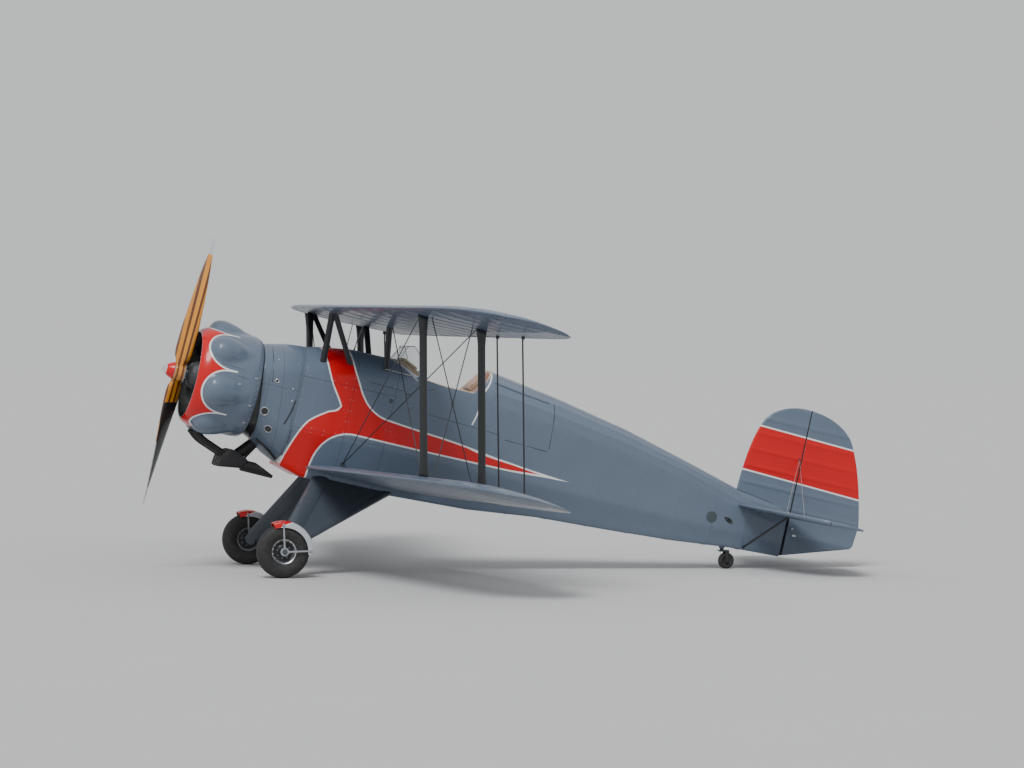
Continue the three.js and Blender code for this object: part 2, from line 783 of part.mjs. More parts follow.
const RUDDER_THICK = 38;
const RUDDER_NOSE = 18;

// A vertical lens: thickest at the hinge, thin at the leading and trailing edges.
function verticalLens() {
  const columns = [
    [4900, 16],
    [5000, 26],
    [RUDDER_HINGE, RUDDER_THICK],
    [5800, 20],
    [6110, 6],
  ];
  return loft(columns.map(([x, thick]) => [
    new THREE.Vector3(x, -thick / 2, -420),
    new THREE.Vector3(x, thick / 2, -420),
    new THREE.Vector3(x, thick / 2, 900),
    new THREE.Vector3(x, -thick / 2, 900),
  ]));
}

function rudderSpace(nose) {
  const aft = box([RUDDER_HINGE, 6200], [-60, 60], [-460, 960]);
  return aft.add(bar([RUDDER_HINGE, 0, -460], [RUDDER_HINGE, 0, 960], nose, nose, 20));
}

const RUDDER_ARM_ZS = [-340, 120, 430, 720];

function finAndRudder(body) {
  const whole = tailSlab(finAndRudderOutline(), 60).intersect(verticalLens());
  const aboveStern = box([5300, 6200], [-60, 60], [-384, 960]);
  const rudder = whole.intersect(rudderSpace(RUDDER_NOSE)).intersect(aboveStern);
  let fin = whole.subtract(rudderSpace(RUDDER_NOSE + RUNNING_GAP));
  fin = fin.intersect(box([4800, 5700], [-60, 60], [-20, 960]));
  for (const z of RUDDER_ARM_ZS.slice(1)) {
    fin = fin.add(rudderArm(RUDDER_HINGE - 60, z));
  }
  return { fin: trimmed(fin, body, [0, 0, GAP]), rudder };
}

// A hinge arm reaches from x = front to the rudder's round nose.
function rudderArm(front, z) {
  return box([front, RUDDER_HINGE - RUDDER_NOSE - GAP], [-6, 6], [z - 9, z + 9]);
}

function sternArm() {
  return rudderArm(STERN - 10, RUDDER_ARM_ZS[0]);
}

// Half of the tailplane in plan, x against y.
const TAIL_HALF_SPAN = 1230;

function tailplaneOutline() {
  const shape = new THREE.Shape();
  shape.moveTo(4950, 0);
  shape.lineTo(4962, 95);
  shape.bezierCurveTo(5030, 560, 5120, 930, 5240, 1110);
  shape.bezierCurveTo(5310, 1200, 5390, TAIL_HALF_SPAN, 5470, TAIL_HALF_SPAN);
  shape.bezierCurveTo(5600, TAIL_HALF_SPAN, 5690, 1170, 5730, 1040);
  shape.bezierCurveTo(5800, 800, 5836, 520, 5826, 262);
  shape.lineTo(RUDDER_HINGE + 20, 60);
  shape.lineTo(5340, 60);
  shape.lineTo(5340, 0);
  shape.closePath();
  return shape;
}

function horizontalLens() {
  const columns = [
    [4920, 12],
    [5020, 26],
    [ELEVATOR_HINGE, 36],
    [5700, 18],
    [5870, 6],
  ];
  return loft(columns.map(([x, thick]) => [
    new THREE.Vector3(x, -10, TAILPLANE_Z - thick / 2),
    new THREE.Vector3(x, 1300, TAILPLANE_Z - thick / 2),
    new THREE.Vector3(x, 1300, TAILPLANE_Z + thick / 2),
    new THREE.Vector3(x, -10, TAILPLANE_Z + thick / 2),
  ]));
}

function elevatorSpace(nose) {
  const aft = box([ELEVATOR_HINGE, 6000], [-10, 1400], [TAILPLANE_Z - 80, TAILPLANE_Z + 80]);
  const ends = [-10, 1400].map((y) => [ELEVATOR_HINGE, y, TAILPLANE_Z]);
  return aft.add(bar(...ends, nose, nose, 20));
}

const ELEVATOR_NOSE = 17;

function tailplaneHalf(body) {
  const thick = { depth: 80, bevelEnabled: false, curveSegments: 10 };
  const geometry = new THREE.ExtrudeGeometry(tailplaneOutline(), thick);
  const whole = toSolid(geometry.translate(0, 0, TAILPLANE_Z - 40)).intersect(horizontalLens());
  const outboard = box([4900, 6000], [56, 1400], [TAILPLANE_Z - 60, TAILPLANE_Z + 60]);
  const elevator = whole.intersect(elevatorSpace(ELEVATOR_NOSE)).intersect(outboard);
  let plane = whole.subtract(elevatorSpace(ELEVATOR_NOSE + RUNNING_GAP));
  for (const y of [150, 640, 1080]) {
    plane = plane.add(box(
      [ELEVATOR_HINGE - 50, ELEVATOR_HINGE - ELEVATOR_NOSE - GAP],
      [y - 7, y + 7],
      [TAILPLANE_Z - 6, TAILPLANE_Z + 6],
    ));
  }
  return { plane: trimmed(plane, body, [0, GAP, 0]), elevator };
}

function elevators(half) {
  const torqueTube = bar(
    [ELEVATOR_HINGE, -70, TAILPLANE_Z],
    [ELEVATOR_HINGE, 70, TAILPLANE_Z],
    TUBE_RADIUS,
    TUBE_RADIUS,
    24,
  );
  return joined(half, mirrored(half), torqueTube);
}

function tailStrut(body, plane) {
  const stay = bar([5090, 50, -400], [5230, 640, TAILPLANE_Z - 4], 10, 9, 10);
  return trimmed(trimmed(stay, body, [0, GAP, 0]), plane, [0, 0, -GAP]);
}

// Undercarriage

// Legs: two faired tubes from the body to the stub axle, with a thin web between them. Columns: share of the
// length from the axle up, chord, thickness.
const LEG_TABLE = [[0, 120, 52], [0.15, 150, 56], [1, 150, 54]];
const REAR_LEG_TABLE = [[0, 84, 42], [0.1, 104, 44], [1, 118, 46]];
const LEG = { footY: HALF_TRACK - 112, headY: 205, headZ: -560, frontX: 1436, rearX: 2005, web: 26 };

function gearLeg(body) {
  const frontFoot = [AXLE.x + 11, LEG.footY, AXLE.z];
  const frontHead = [LEG.frontX, LEG.headY, LEG.headZ];
  const rearFoot = [AXLE.x + 30, LEG.footY, AXLE.z + 14];
  const rearHead = [LEG.rearX, LEG.headY, LEG.headZ];
  const web = loft([[frontFoot, rearFoot], [frontHead, rearHead]].map(([fore, aft]) => [
    new THREE.Vector3(fore[0], fore[1] - LEG.web / 2, fore[2]),
    new THREE.Vector3(fore[0], fore[1] + LEG.web / 2, fore[2]),
    new THREE.Vector3(aft[0], aft[1] + LEG.web / 2, aft[2]),
    new THREE.Vector3(aft[0], aft[1] - LEG.web / 2, aft[2]),
  ]));
  const stubEnd = [AXLE.x, HALF_TRACK + 92, AXLE.z];
  const parts = joined(
    strut(frontFoot, frontHead, LEG_TABLE),
    strut(rearFoot, rearHead, REAR_LEG_TABLE),
    web,
    bar([AXLE.x, LEG.footY - 30, AXLE.z], stubEnd, AXLE_RADIUS, AXLE_RADIUS, 20),
    bar([AXLE.x, LEG.footY - 34, AXLE.z], [AXLE.x, LEG.footY + 26, AXLE.z], 40, 36, 16),
  );
  return trimmed(parts, body, [0, 0, -GAP]);
}

function atWheel(solid) {
  return shifted(solid, AXLE.x, HALF_TRACK, AXLE.z);
}

function mainTyre() {
  const half = TYRE_WIDTH / 2;
  return atWheel(turnedAboutY([
    [-44, RIM_RADIUS], [-60, 120], [-half, 150], [-66, 178], [-46, 200], [-18, TYRE_RADIUS],
    [18, TYRE_RADIUS], [46, 200], [66, 178], [half, 150], [60, 120], [44, RIM_RADIUS], [-44, RIM_RADIUS],
  ], 36));
}

function mainWheel() {
  const bore = AXLE_RADIUS + 0.6;
  return atWheel(turnedAboutY([
    [-56, bore], [-56, 38], [-34, 46], [-20, 70], [-30, 92], [-42, 104 + 0.6], [42, 104 + 0.6], [30, 92],
    [20, 70], [34, 46], [56, 38], [56, bore], [-56, bore],
  ], 24));
}

// A crowned guard over the tyre. Its sides drop towards the wheel, and its front end narrows to a rounded tip.
const GUARD = { crown: 241, half: 77, thick: 5, drop: 46, rear: 6, front: 124, brace: 79 };

function guardRing(degrees) {
  const taper = THREE.MathUtils.smoothstep(degrees, 100, GUARD.front);
  const wide = 1 - 0.42 * taper * taper;
  const drop = GUARD.drop * (1 - 0.62 * taper);
  const section = (inset) => [
    [-1, -drop], [-0.97, -10 - inset], [-0.72, -1 - inset], [0, 4 - inset],
    [0.72, -1 - inset], [0.97, -10 - inset], [1, -drop],
  ].map(([across, rise]) => [across * (GUARD.half * wide - inset), GUARD.crown - 4 + rise]);
  const angle = THREE.MathUtils.degToRad(degrees);
  return [...section(0), ...section(GUARD.thick).reverse()].map(([y, radius]) => (
    new THREE.Vector3(Math.cos(angle) * radius, y, Math.sin(angle) * radius)
  ));
}

function mudguard() {
  const angles = [GUARD.rear, 18, 30, 42, 54, 66, 78, 90, 100, 108, 115, 121, GUARD.front];
  const parts = [strip(angles.map(guardRing))];
  for (const side of [-1, 1]) {
    const plate = [side * GUARD.brace, side * (GUARD.brace + 5)].sort((a, b) => a - b);
    const tabs = [side * (GUARD.half - 4), side * (GUARD.brace + 5)].sort((a, b) => a - b);
    parts.push(turnedAboutY([
      [plate[0], AXLE_RADIUS + 0.6], [plate[0], 34], [plate[1], 34], [plate[1], AXLE_RADIUS + 0.6],
      [plate[0], AXLE_RADIUS + 0.6],
    ], 20));
    for (const degrees of [105, 14]) {
      parts.push(box([28, 220], plate, [-7, 7]).rotate([0, -degrees, 0]));
      parts.push(box([200, 220], tabs, [-9, 9]).rotate([0, -degrees, 0]));
    }
  }
  return atWheel(joined(...parts));
}

// Tailwheel, drawn upright in the world frame about its swivel

function world(x, z) {
  return {
    x: x * Math.cos(PITCH) + z * Math.sin(PITCH) - NOSE_TO_ORIGIN,
    z: -x * Math.sin(PITCH) + z * Math.cos(PITCH) + LIFT,
  };
}

// The point of the upright swivel axis at a height above the ground, in the airframe's own level frame.
function onSwivel(worldZ) {
  const [x, z] = [TAILWHEEL.pivotX, -430];
  const above = worldZ - world(x, z).z;
  return [x - Math.sin(PITCH) * above, 0, z + Math.cos(PITCH) * above];
}

function tailFork() {
  const pivot = world(TAILWHEEL.pivotX, -430);
  const wheel = world(TAILWHEEL.x, -500);
  const { crownZ, thick, postTop } = TAIL_FORK;
  const half = TAILWHEEL.width / 2 + 6;
  const parts = [
    box([pivot.x - 26, wheel.x + 18], [-half - 6, half + 6], [crownZ, crownZ + thick]),
    bar([pivot.x, 0, crownZ], [pivot.x, 0, postTop - GAP], 17, 17, 16),
  ];
  for (const side of [-1, 1]) {
    const inner = side * half;
    const outer = side * (half + 6);
    parts.push(box([wheel.x - 16, wheel.x + 16], [Math.min(inner, outer), Math.max(inner, outer)],
      [TAILWHEEL.radius - 16, crownZ + 2]));
  }
  parts.push(bar([wheel.x, -half, TAILWHEEL.radius], [wheel.x, half, TAILWHEEL.radius], 8, 8, 12));
  return joined(...parts);
}

function tailwheel() {
  const centre = world(TAILWHEEL.x, -500);
  const half = TAILWHEEL.width / 2;
  const { radius } = TAILWHEEL;
  const solid = turnedAboutY([
    [-half - 4, 8.6], [-half - 4, 16], [-12, 22], [-half + 4, 38], [-half, 50], [-half + 8, radius - 5],
    [-8, radius], [8, radius], [half - 8, radius - 5], [half, 50], [half - 4, 38], [12, 22], [half + 4, 16],
    [half + 4, 8.6], [-half - 4, 8.6],
  ], 28);
  return shifted(solid, centre.x, 0, radius);
}

// Cockpit fittings

// Rows of the windscreen's sheet: height, how far it reaches ahead of its ends, half-width, x of its ends.
const SCREEN_TABLE = [
  [300, 246, 330, 2012],
  [480, 212, 270, 2018],
  [640, 120, 190, 2024],
];
const SCREEN_THICK = 5;

// What sits on the opening's rim keeps its gap above the rim and on both sides of it.
const BESIDE_THE_RIM = [[0, 0.5, 0.5], [0, -0.5, 0.5], [-0.5, 0, 0.5]];

function windscreen(filledBody) {
  const arc = (z, reach, half, x) => {
    const steps = 12;
    return Array.from({ length: steps + 1 }, (_, k) => {
      const angle = (k / steps) * Math.PI;
      return new THREE.Vector3(x - Math.sin(angle) * reach, -Math.cos(angle) * half, z);
    });
  };
  const rings = SCREEN_TABLE.map(([z, reach, half, x]) => [
    ...arc(z, reach, half, x),
    ...arc(z, reach - SCREEN_THICK, half - SCREEN_THICK, x).reverse(),
  ]);
  const top = polygon([[1700, 566], [1858, 570], [1895, 595], [1945, 604], [2040, 470], [2040, 800], [1700, 800]]);
  const cut = trimmed(strip(rings), filledBody, ...BESIDE_THE_RIM).subtract(sidePlate(top, -400, 400));
  return mainBody(cut.subtract(box([2006, 2100], [-400, 400], [200, 700])));
}

// A loft over rings that are thin bent strips: the ends are closed quad by quad.
function strip(rings) {
  const count = rings[0].length;
  const half = count / 2;
  const points = rings.flat();
  const index = [];
  for (let ring = 0; ring + 1 < rings.length; ring += 1) {
    for (let k = 0; k < count; k += 1) {
      const a = ring * count + k;
      const b = ring * count + ((k + 1) % count);
      index.push(a, b, b + count, a, b + count, a + count);
    }
  }
  for (const [ring, turn] of [[0, true], [rings.length - 1, false]]) {
    for (let k = 0; k + 1 < half; k += 1) {
      const base = ring * count;
      const [a, b, c, d] = [base + k, base + k + 1, base + count - 2 - k, base + count - 1 - k];
      index.push(...(turn ? [a, c, b, a, d, c] : [a, b, c, a, c, d]));
    }
  }
  const geometry = new THREE.BufferGeometry().setFromPoints(points);
  geometry.setIndex(volumeOf(points, index) < 0 ? flipped(index) : index);
  return toSolid(geometry);
}

// Under the cockpit's sloping floor, inside its skin: what stands on the floor is cut off there.
const UNDER_FLOOR_Z = -592;

function seat(floor) {
  const parts = joined(
    box([2250, 2540], [-205, 205], [-330, -300]),
    box([2500, 2530], [-205, 205], [-310, 120]),
    box([2260, 2530], [-205, -190], [-310, -180]),
    box([2260, 2530], [190, 205], [-310, -180]),
    box([2270, 2300], [-170, 170], [UNDER_FLOOR_Z, -320]),
    box([2470, 2500], [-170, 170], [UNDER_FLOOR_Z, -320]),
  );
  return trimmed(parts, floor, [0, 0, GAP]);
}

function instrumentPanel() {
  const outline = bodyBetween(1930, 1942, WALL + GAP).intersect(box([1900, 1960], [-330, 330], [60, 440]));
  return outline;
}

function controlStick(floor) {
  const parts = joined(
    bar([2130, 0, UNDER_FLOOR_Z - 4], [2130, 0, -560], 42, 34, 16),
    bar([2130, 0, -570], [2160, 0, -130], 12, 11, 12),
    bar([2160, 0, -140], [2166, 0, -20], 17, 15, 12),
  );
  return trimmed(parts, floor, [0, 0, GAP]);
}

// The padded roll along the opening's front edge.
const COAMING_RADIUS = 19;

function coamingPad(filledBody) {
  const { x, reach, half } = OPENING_FRONT;
  const points = [0.1, 0.22, 0.36, 0.5, 0.64, 0.78, 0.9].map((share) => {
    const angle = share * Math.PI;
    const [px, py] = [x - Math.sin(angle) * reach, -Math.cos(angle) * half];
    return [px, py, deckHeight(px, py) + 5];
  });
  return trimmed(tube(points, COAMING_RADIUS, 8, 12), filledBody, ...BESIDE_THE_RIM);
}

function headrestPad() {
  const foot = new THREE.Vector2(...DECK_FRONT.foot);
  const slope = new THREE.Vector2(...DECK_FRONT.head).sub(foot).normalize();
  const out = new THREE.Vector2(-slope.y, slope.x);
  const at = (along, off) => {
    const point = foot.clone().addScaledVector(slope, along);
    return point.addScaledVector(out, off).toArray();
  };
  const profile = [[12, GAP], [250, GAP], [244, 22], [214, 34], [66, 34], [20, 22]];
  return sidePlate(polygon(profile.map(([along, off]) => at(along, off))), -100, 100);
}

// Cabane struts between the deck and the centre section
const CABANE_TABLE = [[0, 52, 22], [1, 52, 22]];

function cabane(deck, centre, legs) {
  const raw = joined(...legs.map(([foot, head]) => strut(foot, head, CABANE_TABLE)));
  return trimmed(trimmed(raw, deck, [0, GAP, 0]).subtract(shifted(deck, 0, 0, GAP)), centre, [0, 0, -GAP]);
}

// Finishes. Columns: name, colour, roughness, metalness.
const FINISHES = Object.fromEntries([
  ['grey', 0x66717f, 0.28, 0.0],
  ['silver', 0xb9c2cc, 0.45, 0.2],
  ['red', 0xa31420, 0.3, 0.0],
  ['black', 0x14161a, 0.45, 0.1],
  ['steel', 0x8a8d90, 0.4, 0.8],
  ['castMetal', 0x3b3d40, 0.55, 0.6],
  ['wood', 0xb4681f, 0.3, 0.0],
  ['rubber', 0x18181a, 0.85, 0.0],
  ['leather', 0xb0622a, 0.7, 0.0],
  ['canvas', 0xc4ab8c, 0.85, 0.0],
  ['glass', 0xcfe3e0, 0.05, 0.0],
].map(([name, color, roughness, metalness]) => [name, new THREE.MeshStandardMaterial({
  name,
  color,
  roughness,
  metalness,
})]));
FINISHES.glass.transparent = true;
FINISHES.glass.opacity = 0.35;

// Assembly

const airframe = new THREE.Group();
airframe.rotation.y = PITCH;
airframe.position.set(-NOSE_TO_ORIGIN, 0, LIFT);
const upright = new THREE.Group();
const aircraft = new THREE.Group();
aircraft.add(airframe, upright);

function put(name, solid, finish, group = airframe) {
  const mesh = new THREE.Mesh(toGeometry(solid), FINISHES[finish]);
  mesh.name = name;
  group.add(mesh);
}

function putPair(name, solid, finish) {
  put(`${name}_right`, solid, finish);
  put(`${name}_left`, mirrored(solid), finish);
}

const front = frontFuselage();
const shell = cockpitShell();
const rear = rearFuselage();
const bay = accessoryCowl();
const wholeBody = joined(bodyBetween(FIREWALL, STERN));

put('front_fuselage', front, 'grey');
put('cockpit_shell', shell, 'grey');
put('rear_fuselage', rear.add(sternArm()), 'grey');
put('accessory_cowl', bay, 'grey');

const onThrustLine = (solid) => shifted(solid, 0, 0, THRUST_Z);
const cowl = onThrustLine(engineCowl());
put('engine_cowl', cowl, 'red');
put('engine', trimmed(onThrustLine(engine()), bay, [-GAP, 0, 0]), 'castMetal');
put('exhaust', exhaust(cowl, bay), 'black');
put('propeller', onThrustLine(propeller()), 'wood');
put('spinner', onThrustLine(spinner()), 'red');

const upper = panelAndAileron(UPPER, CENTRE_HALF + GAP, -1);
const lower = panelAndAileron(LOWER, LOWER_ROOT, 1);
const centreSection = loft([-CENTRE_HALF, CENTRE_HALF].map((y) => wingRing({
  y,
  lead: UPPER.x,
  trail: UPPER.x + CHORD,
  z: UPPER.z,
  depth: WING_DEPTH,
})));
const lowerPanel = trimmed(lower.panel, wholeBody, [0, GAP, 0]);

put('upper_wing_centre', centreSection, 'grey');
putPair('upper_wing', upper.panel, 'grey');
putPair('lower_wing', lowerPanel, 'grey');
putPair('aileron_upper', upper.aileron, 'silver');
putPair('aileron_lower', lower.aileron, 'silver');

for (const [place, aft] of [['front', FRONT_SPAR], ['rear', REAR_SPAR]]) {
  const raw = strut(strutEnd(LOWER, aft), strutEnd(UPPER, aft));
  const cut = trimmed(trimmed(raw, lower.panel, [0, 0, GAP]), upper.panel, [0, 0, -GAP]);
  putPair(`interplane_${place}`, cut, 'black');
}
putPair('bay_wires', bayWires(wholeBody, lower.panel, upper.panel, centreSection), 'steel');
putPair('incidence_wires', incidenceWires(lower.panel, upper.panel), 'steel');

ROD_YS.forEach((y, k) => putPair(`aileron_rod_${k + 1}`, linkRod(lower.frame, upper.frame, y), 'black'));

putPair('cabane_front', cabane(wholeBody, centreSection, [
  [[1215, 270, 300], [1165, 430, 735]],
  [[1440, 285, 330], [1170, 430, 735]],
]), 'black');
putPair('cabane_rear', cabane(wholeBody, centreSection, [
  [[1735, 285, 330], [1640, 430, 735]],
]), 'black');

const { fin, rudder } = finAndRudder(wholeBody);
put('fin', fin, 'red');
put('rudder', rudder, 'grey');
const tailHalf = tailplaneHalf(wholeBody);
putPair('tailplane', tailHalf.plane, 'grey');
put('elevators', elevators(tailHalf.elevator), 'grey');
putPair('tailplane_strut', tailStrut(wholeBody, tailHalf.plane), 'black');

putPair('gear_leg', gearLeg(wholeBody), 'black');
putPair('main_tyre', mainTyre(), 'rubber');
putPair('main_wheel', mainWheel(), 'steel');
putPair('mudguard', mudguard(), 'grey');

put('tailwheel_fork', tailFork(), 'black', upright);
put('tailwheel', tailwheel(), 'rubber', upright);

const filledBody = wholeBody.subtract(sidePlate(OPENING_OUTLINE, -420, 420)).subtract(openingFront());
put('windscreen', windscreen(filledBody), 'glass');
put('instrument_panel', instrumentPanel(), 'black');
put('seat', seat(shell), 'steel');
put('control_stick', controlStick(shell), 'black');
put('coaming_pad', coamingPad(filledBody), 'leather');
put('headrest_pad', headrestPad(), 'canvas');

export default aircraft;
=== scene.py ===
"""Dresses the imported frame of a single-seat aerobatic biplane of the 1930s.

Shapes are drawn in the level airframe, in millimetres: x aft from the spinner's tip, y to starboard and z up from
a datum 16 mm above the propeller's shaft. placed() turns them into the frame's own metres, pitched nose up onto the
three wheels.
"""

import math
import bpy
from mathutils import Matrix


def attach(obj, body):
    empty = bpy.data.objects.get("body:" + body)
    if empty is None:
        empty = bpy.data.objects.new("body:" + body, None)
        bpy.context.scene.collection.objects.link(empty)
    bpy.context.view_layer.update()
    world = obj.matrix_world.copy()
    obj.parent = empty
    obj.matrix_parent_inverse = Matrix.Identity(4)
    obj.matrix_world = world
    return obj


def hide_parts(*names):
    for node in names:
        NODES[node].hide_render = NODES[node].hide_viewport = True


bl_info = {
    "name": "Aerobatic Biplane",
    "version": (1, 0, 0),
    "blender": (4, 5, 0),
    "location": "View3D > Sidebar > Biplane",
    "description": "Skins, finishes and fittings of a 1930s aerobatic biplane over its packed frame",
    "category": "Object",
}

import bmesh
import bpy
import numpy as np
from bpy.props import FloatProperty, FloatVectorProperty, IntProperty, PointerProperty
from mathutils import Matrix, Vector

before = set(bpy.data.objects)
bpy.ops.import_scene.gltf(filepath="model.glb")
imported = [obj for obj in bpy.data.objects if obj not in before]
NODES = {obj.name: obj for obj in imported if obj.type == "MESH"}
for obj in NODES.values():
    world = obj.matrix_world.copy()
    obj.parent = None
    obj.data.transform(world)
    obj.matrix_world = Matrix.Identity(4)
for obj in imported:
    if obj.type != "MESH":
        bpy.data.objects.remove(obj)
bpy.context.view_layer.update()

PITCH = math.radians(12.2)
SIN, COS = math.sin(PITCH), math.cos(PITCH)
NOSE_TO_ORIGIN = 2923.0
AXLE = (1134.0, 737.0, -1220.0)
LIFT = 210.0 + AXLE[0] * SIN - AXLE[2] * COS
AFT, STARBOARD, UP = np.eye(3)
GAP = 0.3
THRUST = np.array([0.0, 0.0, -16.0])


# Points and frames

def placed(points):
    """Points of the level airframe, in millimetres, as points of the frame, in metres."""
    x, y, z = np.moveaxis(np.asarray(points, float), -1, 0)
    return np.stack([x * COS + z * SIN - NOSE_TO_ORIGIN, y, z * COS - x * SIN + LIFT], -1) / 1000


def levelled(points):
    """The other way round: points of the frame, in metres, as points of the level airframe."""
    x, y, z = np.moveaxis(np.asarray(points, float) * 1000, -1, 0)
    x, z = x + NOSE_TO_ORIGIN, z - LIFT
    return np.stack([x * COS - z * SIN, y, x * SIN + z * COS], -1)


def placed_step(step):
    """A step in the level airframe, in millimetres, as a step in the frame, in metres."""
    return placed(step) - placed((0, 0, 0))


def unit(vector):
    vector = np.asarray(vector, float)
    return vector / np.linalg.norm(vector)


def across(along):
    """Two directions square to a given one."""
    along = unit(along)
    side = unit(np.cross(along, UP if abs(along[2]) < 0.9 else AFT))
    return side, np.cross(along, side)


def all_round(count):
    """Equal turns round a circle."""
    return np.linspace(0, 2 * math.pi, count, endpoint=False)


def eased(table, at):
    """A smooth curve through a table's rows, without overshoot. The first column is what it runs along."""
    table, at = np.asarray(table, float), np.atleast_1d(np.asarray(at, float))
    xs, ys = table[:, 0], table[:, 1:]
    width = np.diff(xs)[:, None]
    slope = np.diff(ys, axis=0) / width
    tangent = np.zeros_like(ys)
    tangent[0], tangent[-1] = slope[0], slope[-1]
    same_way = slope[:-1] * slope[1:] > 0
    total = np.where(np.abs(slope[:-1] + slope[1:]) < 1e-9, 1.0, slope[:-1] + slope[1:])
    tangent[1:-1] = np.where(same_way, 2 * slope[:-1] * slope[1:] / total, 0)
    k = np.clip(np.searchsorted(xs, at, side="right") - 1, 0, len(xs) - 2)
    share = np.clip((at - xs[k]) / width[k, 0], 0, 1)[:, None]
    h = width[k]
    start = (2 * share**3 - 3 * share**2 + 1) * ys[k] + (share**3 - 2 * share**2 + share) * h * tangent[k]
    end = (3 * share**2 - 2 * share**3) * ys[k + 1] + (share**3 - share**2) * h * tangent[k + 1]
    return start + end


def straight(table, at):
    """Straight lines through a table's rows."""
    table, at = np.asarray(table, float), np.atleast_1d(np.asarray(at, float))
    return np.stack([np.interp(at, table[:, 0], column) for column in table[:, 1:].T], -1)


def path_through(points, steps):
    """A smooth path through a few points, as steps points evenly shared between them."""
    points = np.asarray(points, float)
    return eased(np.column_stack([np.arange(len(points)), points]), np.linspace(0, len(points) - 1, steps))


def distance_to_line(points, line, closed=False):
    """How far flat points are from a bent line."""
    line = np.asarray(line, float)
    ends = np.roll(line, -1, axis=0) if closed else line[1:]
    starts = line if closed else line[:-1]
    best = np.full(len(points), 1e9)
    for a, b in zip(starts, ends):
        along = b - a
        share = np.clip(((points - a) @ along) / max(along @ along, 1e-9), 0, 1)
        best = np.minimum(best, np.linalg.norm(points - a - share[:, None] * along, axis=1))
    return best


def signed_distance(points, outline):
    """Distance from a closed outline, below zero inside it."""
    inside = np.zeros(len(points), bool)
    for (ax, ay), (bx, by) in zip(outline, np.roll(outline, -1, axis=0)):
        crosses = (ay > points[:, 1]) != (by > points[:, 1])
        at = ax + (points[:, 1] - ay) * (bx - ax) / (by - ay if by != ay else 1e-9)
        inside ^= crosses & (points[:, 0] < at)
    distance = distance_to_line(points, outline, closed=True)
    return np.where(inside, -distance, distance)


# Shapes

class Shape:
    """Closed bodies in the level airframe that become one mesh."""

    def __init__(self):
        self.points, self.faces, self.count = [], [], 0

    def add(self, points, faces):
        self.points.append(np.asarray(points, float).reshape(-1, 3))
        self.faces.extend(tuple(int(k) + self.count for k in face) for face in faces)
        self.count += len(self.points[-1])
        return self

    def loft(self, rows, closed=True, caps=True, looped=False):
        """A skin over rows of equally many points."""
        rows = np.asarray(rows, float)
        m, n = rows.shape[:2]
        faces = []
        for i in range(m if looped else m - 1):
            j = (i + 1) % m
            for k in range(n if closed else n - 1):
                right = (k + 1) % n
                faces.append((i * n + k, i * n + right, j * n + right, j * n + k))
        if caps and not looped:
            faces += [tuple(range(n))[::-1], tuple(range((m - 1) * n, m * n))]
        return self.add(rows.reshape(-1, 3), faces)

    def turned(self, profile, centre, axis, sides=32, closed=True):
        """A lathe: profile rows are the distance along the axis and the radius. It closes on itself or on the axis."""
        side, other = across(axis)
        axis = unit(axis)
        angles = all_round(sides)
        profile = [(along, max(radius, 0.02)) for along, radius in profile]
        around = np.cos(angles)[:, None] * side + np.sin(angles)[:, None] * other
        rows = [np.asarray(centre) + along * axis + radius * around for along, radius in profile]
        return self.loft(rows, caps=not closed, looped=closed)

    def bar(self, start, end, radius, end_radius=None, sides=16, edge=0.0):
        """A round bar with its two edges eased."""
        start, end = np.asarray(start, float), np.asarray(end, float)
        end_radius = radius if end_radius is None else end_radius
        length = np.linalg.norm(end - start)
        edge = min(edge, length / 3, radius * 0.6, end_radius * 0.6)
        profile = [(0, radius - edge), (edge, radius), (length - edge, end_radius), (length, end_radius - edge)]
        if edge == 0:
            profile = [profile[0], profile[-1]]
        return self.turned(profile, start, end - start, sides, closed=False)

    def tube(self, path, radius, sides=16, caps=True, flat=1.0, up=None):
        """A tube along a path. flat squeezes it along the direction up."""
        path = np.asarray(path, float)
        radius = np.broadcast_to(np.asarray(radius, float), (len(path),))
        angles = all_round(sides)
        ways = np.gradient(path, axis=0)
        side, _ = across(ways[0])
        rows = []
        for point, way, r in zip(path, ways, radius):
            way = unit(way)
            side = unit(np.cross(np.cross(way, side if up is None else np.cross(up, way)), way))
            other = np.cross(way, side)
            rows.append(point + r * (np.cos(angles)[:, None] * side + np.sin(angles)[:, None] * other * flat))
        return self.loft(rows, caps=caps)

    def block(self, centre, half, axes=None, edge=1.0):
        """A box with its edges cut back, about a centre and along three directions."""
        axes = np.eye(3) if axes is None else np.asarray(axes, float)
        half = np.asarray(half, float)
        edge = min(edge, half.min() * 0.6)
        rows = []
        for level, inset in [(-half[2], edge), (edge - half[2], 0), (half[2] - edge, 0), (half[2], edge)]:
            w, d = half[0] - inset, half[1] - inset
            corners = [(w, d - edge), (w - edge, d), (edge - w, d), (-w, d - edge),
                       (-w, edge - d), (edge - w, -d), (w - edge, -d), (w, edge - d)]
            rows.append([np.asarray(centre) + a * axes[0] + b * axes[1] + level * axes[2] for a, b in corners])
        return self.loft(rows)

    def mirrored(self):
        """The same shape on the other side of the aircraft."""
        twin = Shape()
        twin.points = [points * (1, -1, 1) for points in self.points]
        twin.faces = [face[::-1] for face in self.faces]
        twin.count = self.count
        return twin

    def made(self, name, sharp=35.0, outward=True, moved=0.0):
        obj = as_object(name, placed(np.concatenate(self.points) + moved), self.faces)
        if outward:
            face_outwards(obj)
        return smoothed(obj, sharp)


def as_object(name, points, faces):
    mesh = bpy.data.meshes.new(name)
    mesh.from_pydata([tuple(p) for p in points], [], faces)
    mesh.update()
    obj = bpy.data.objects.new(name, mesh)
    bpy.context.scene.collection.objects.link(obj)
    return obj


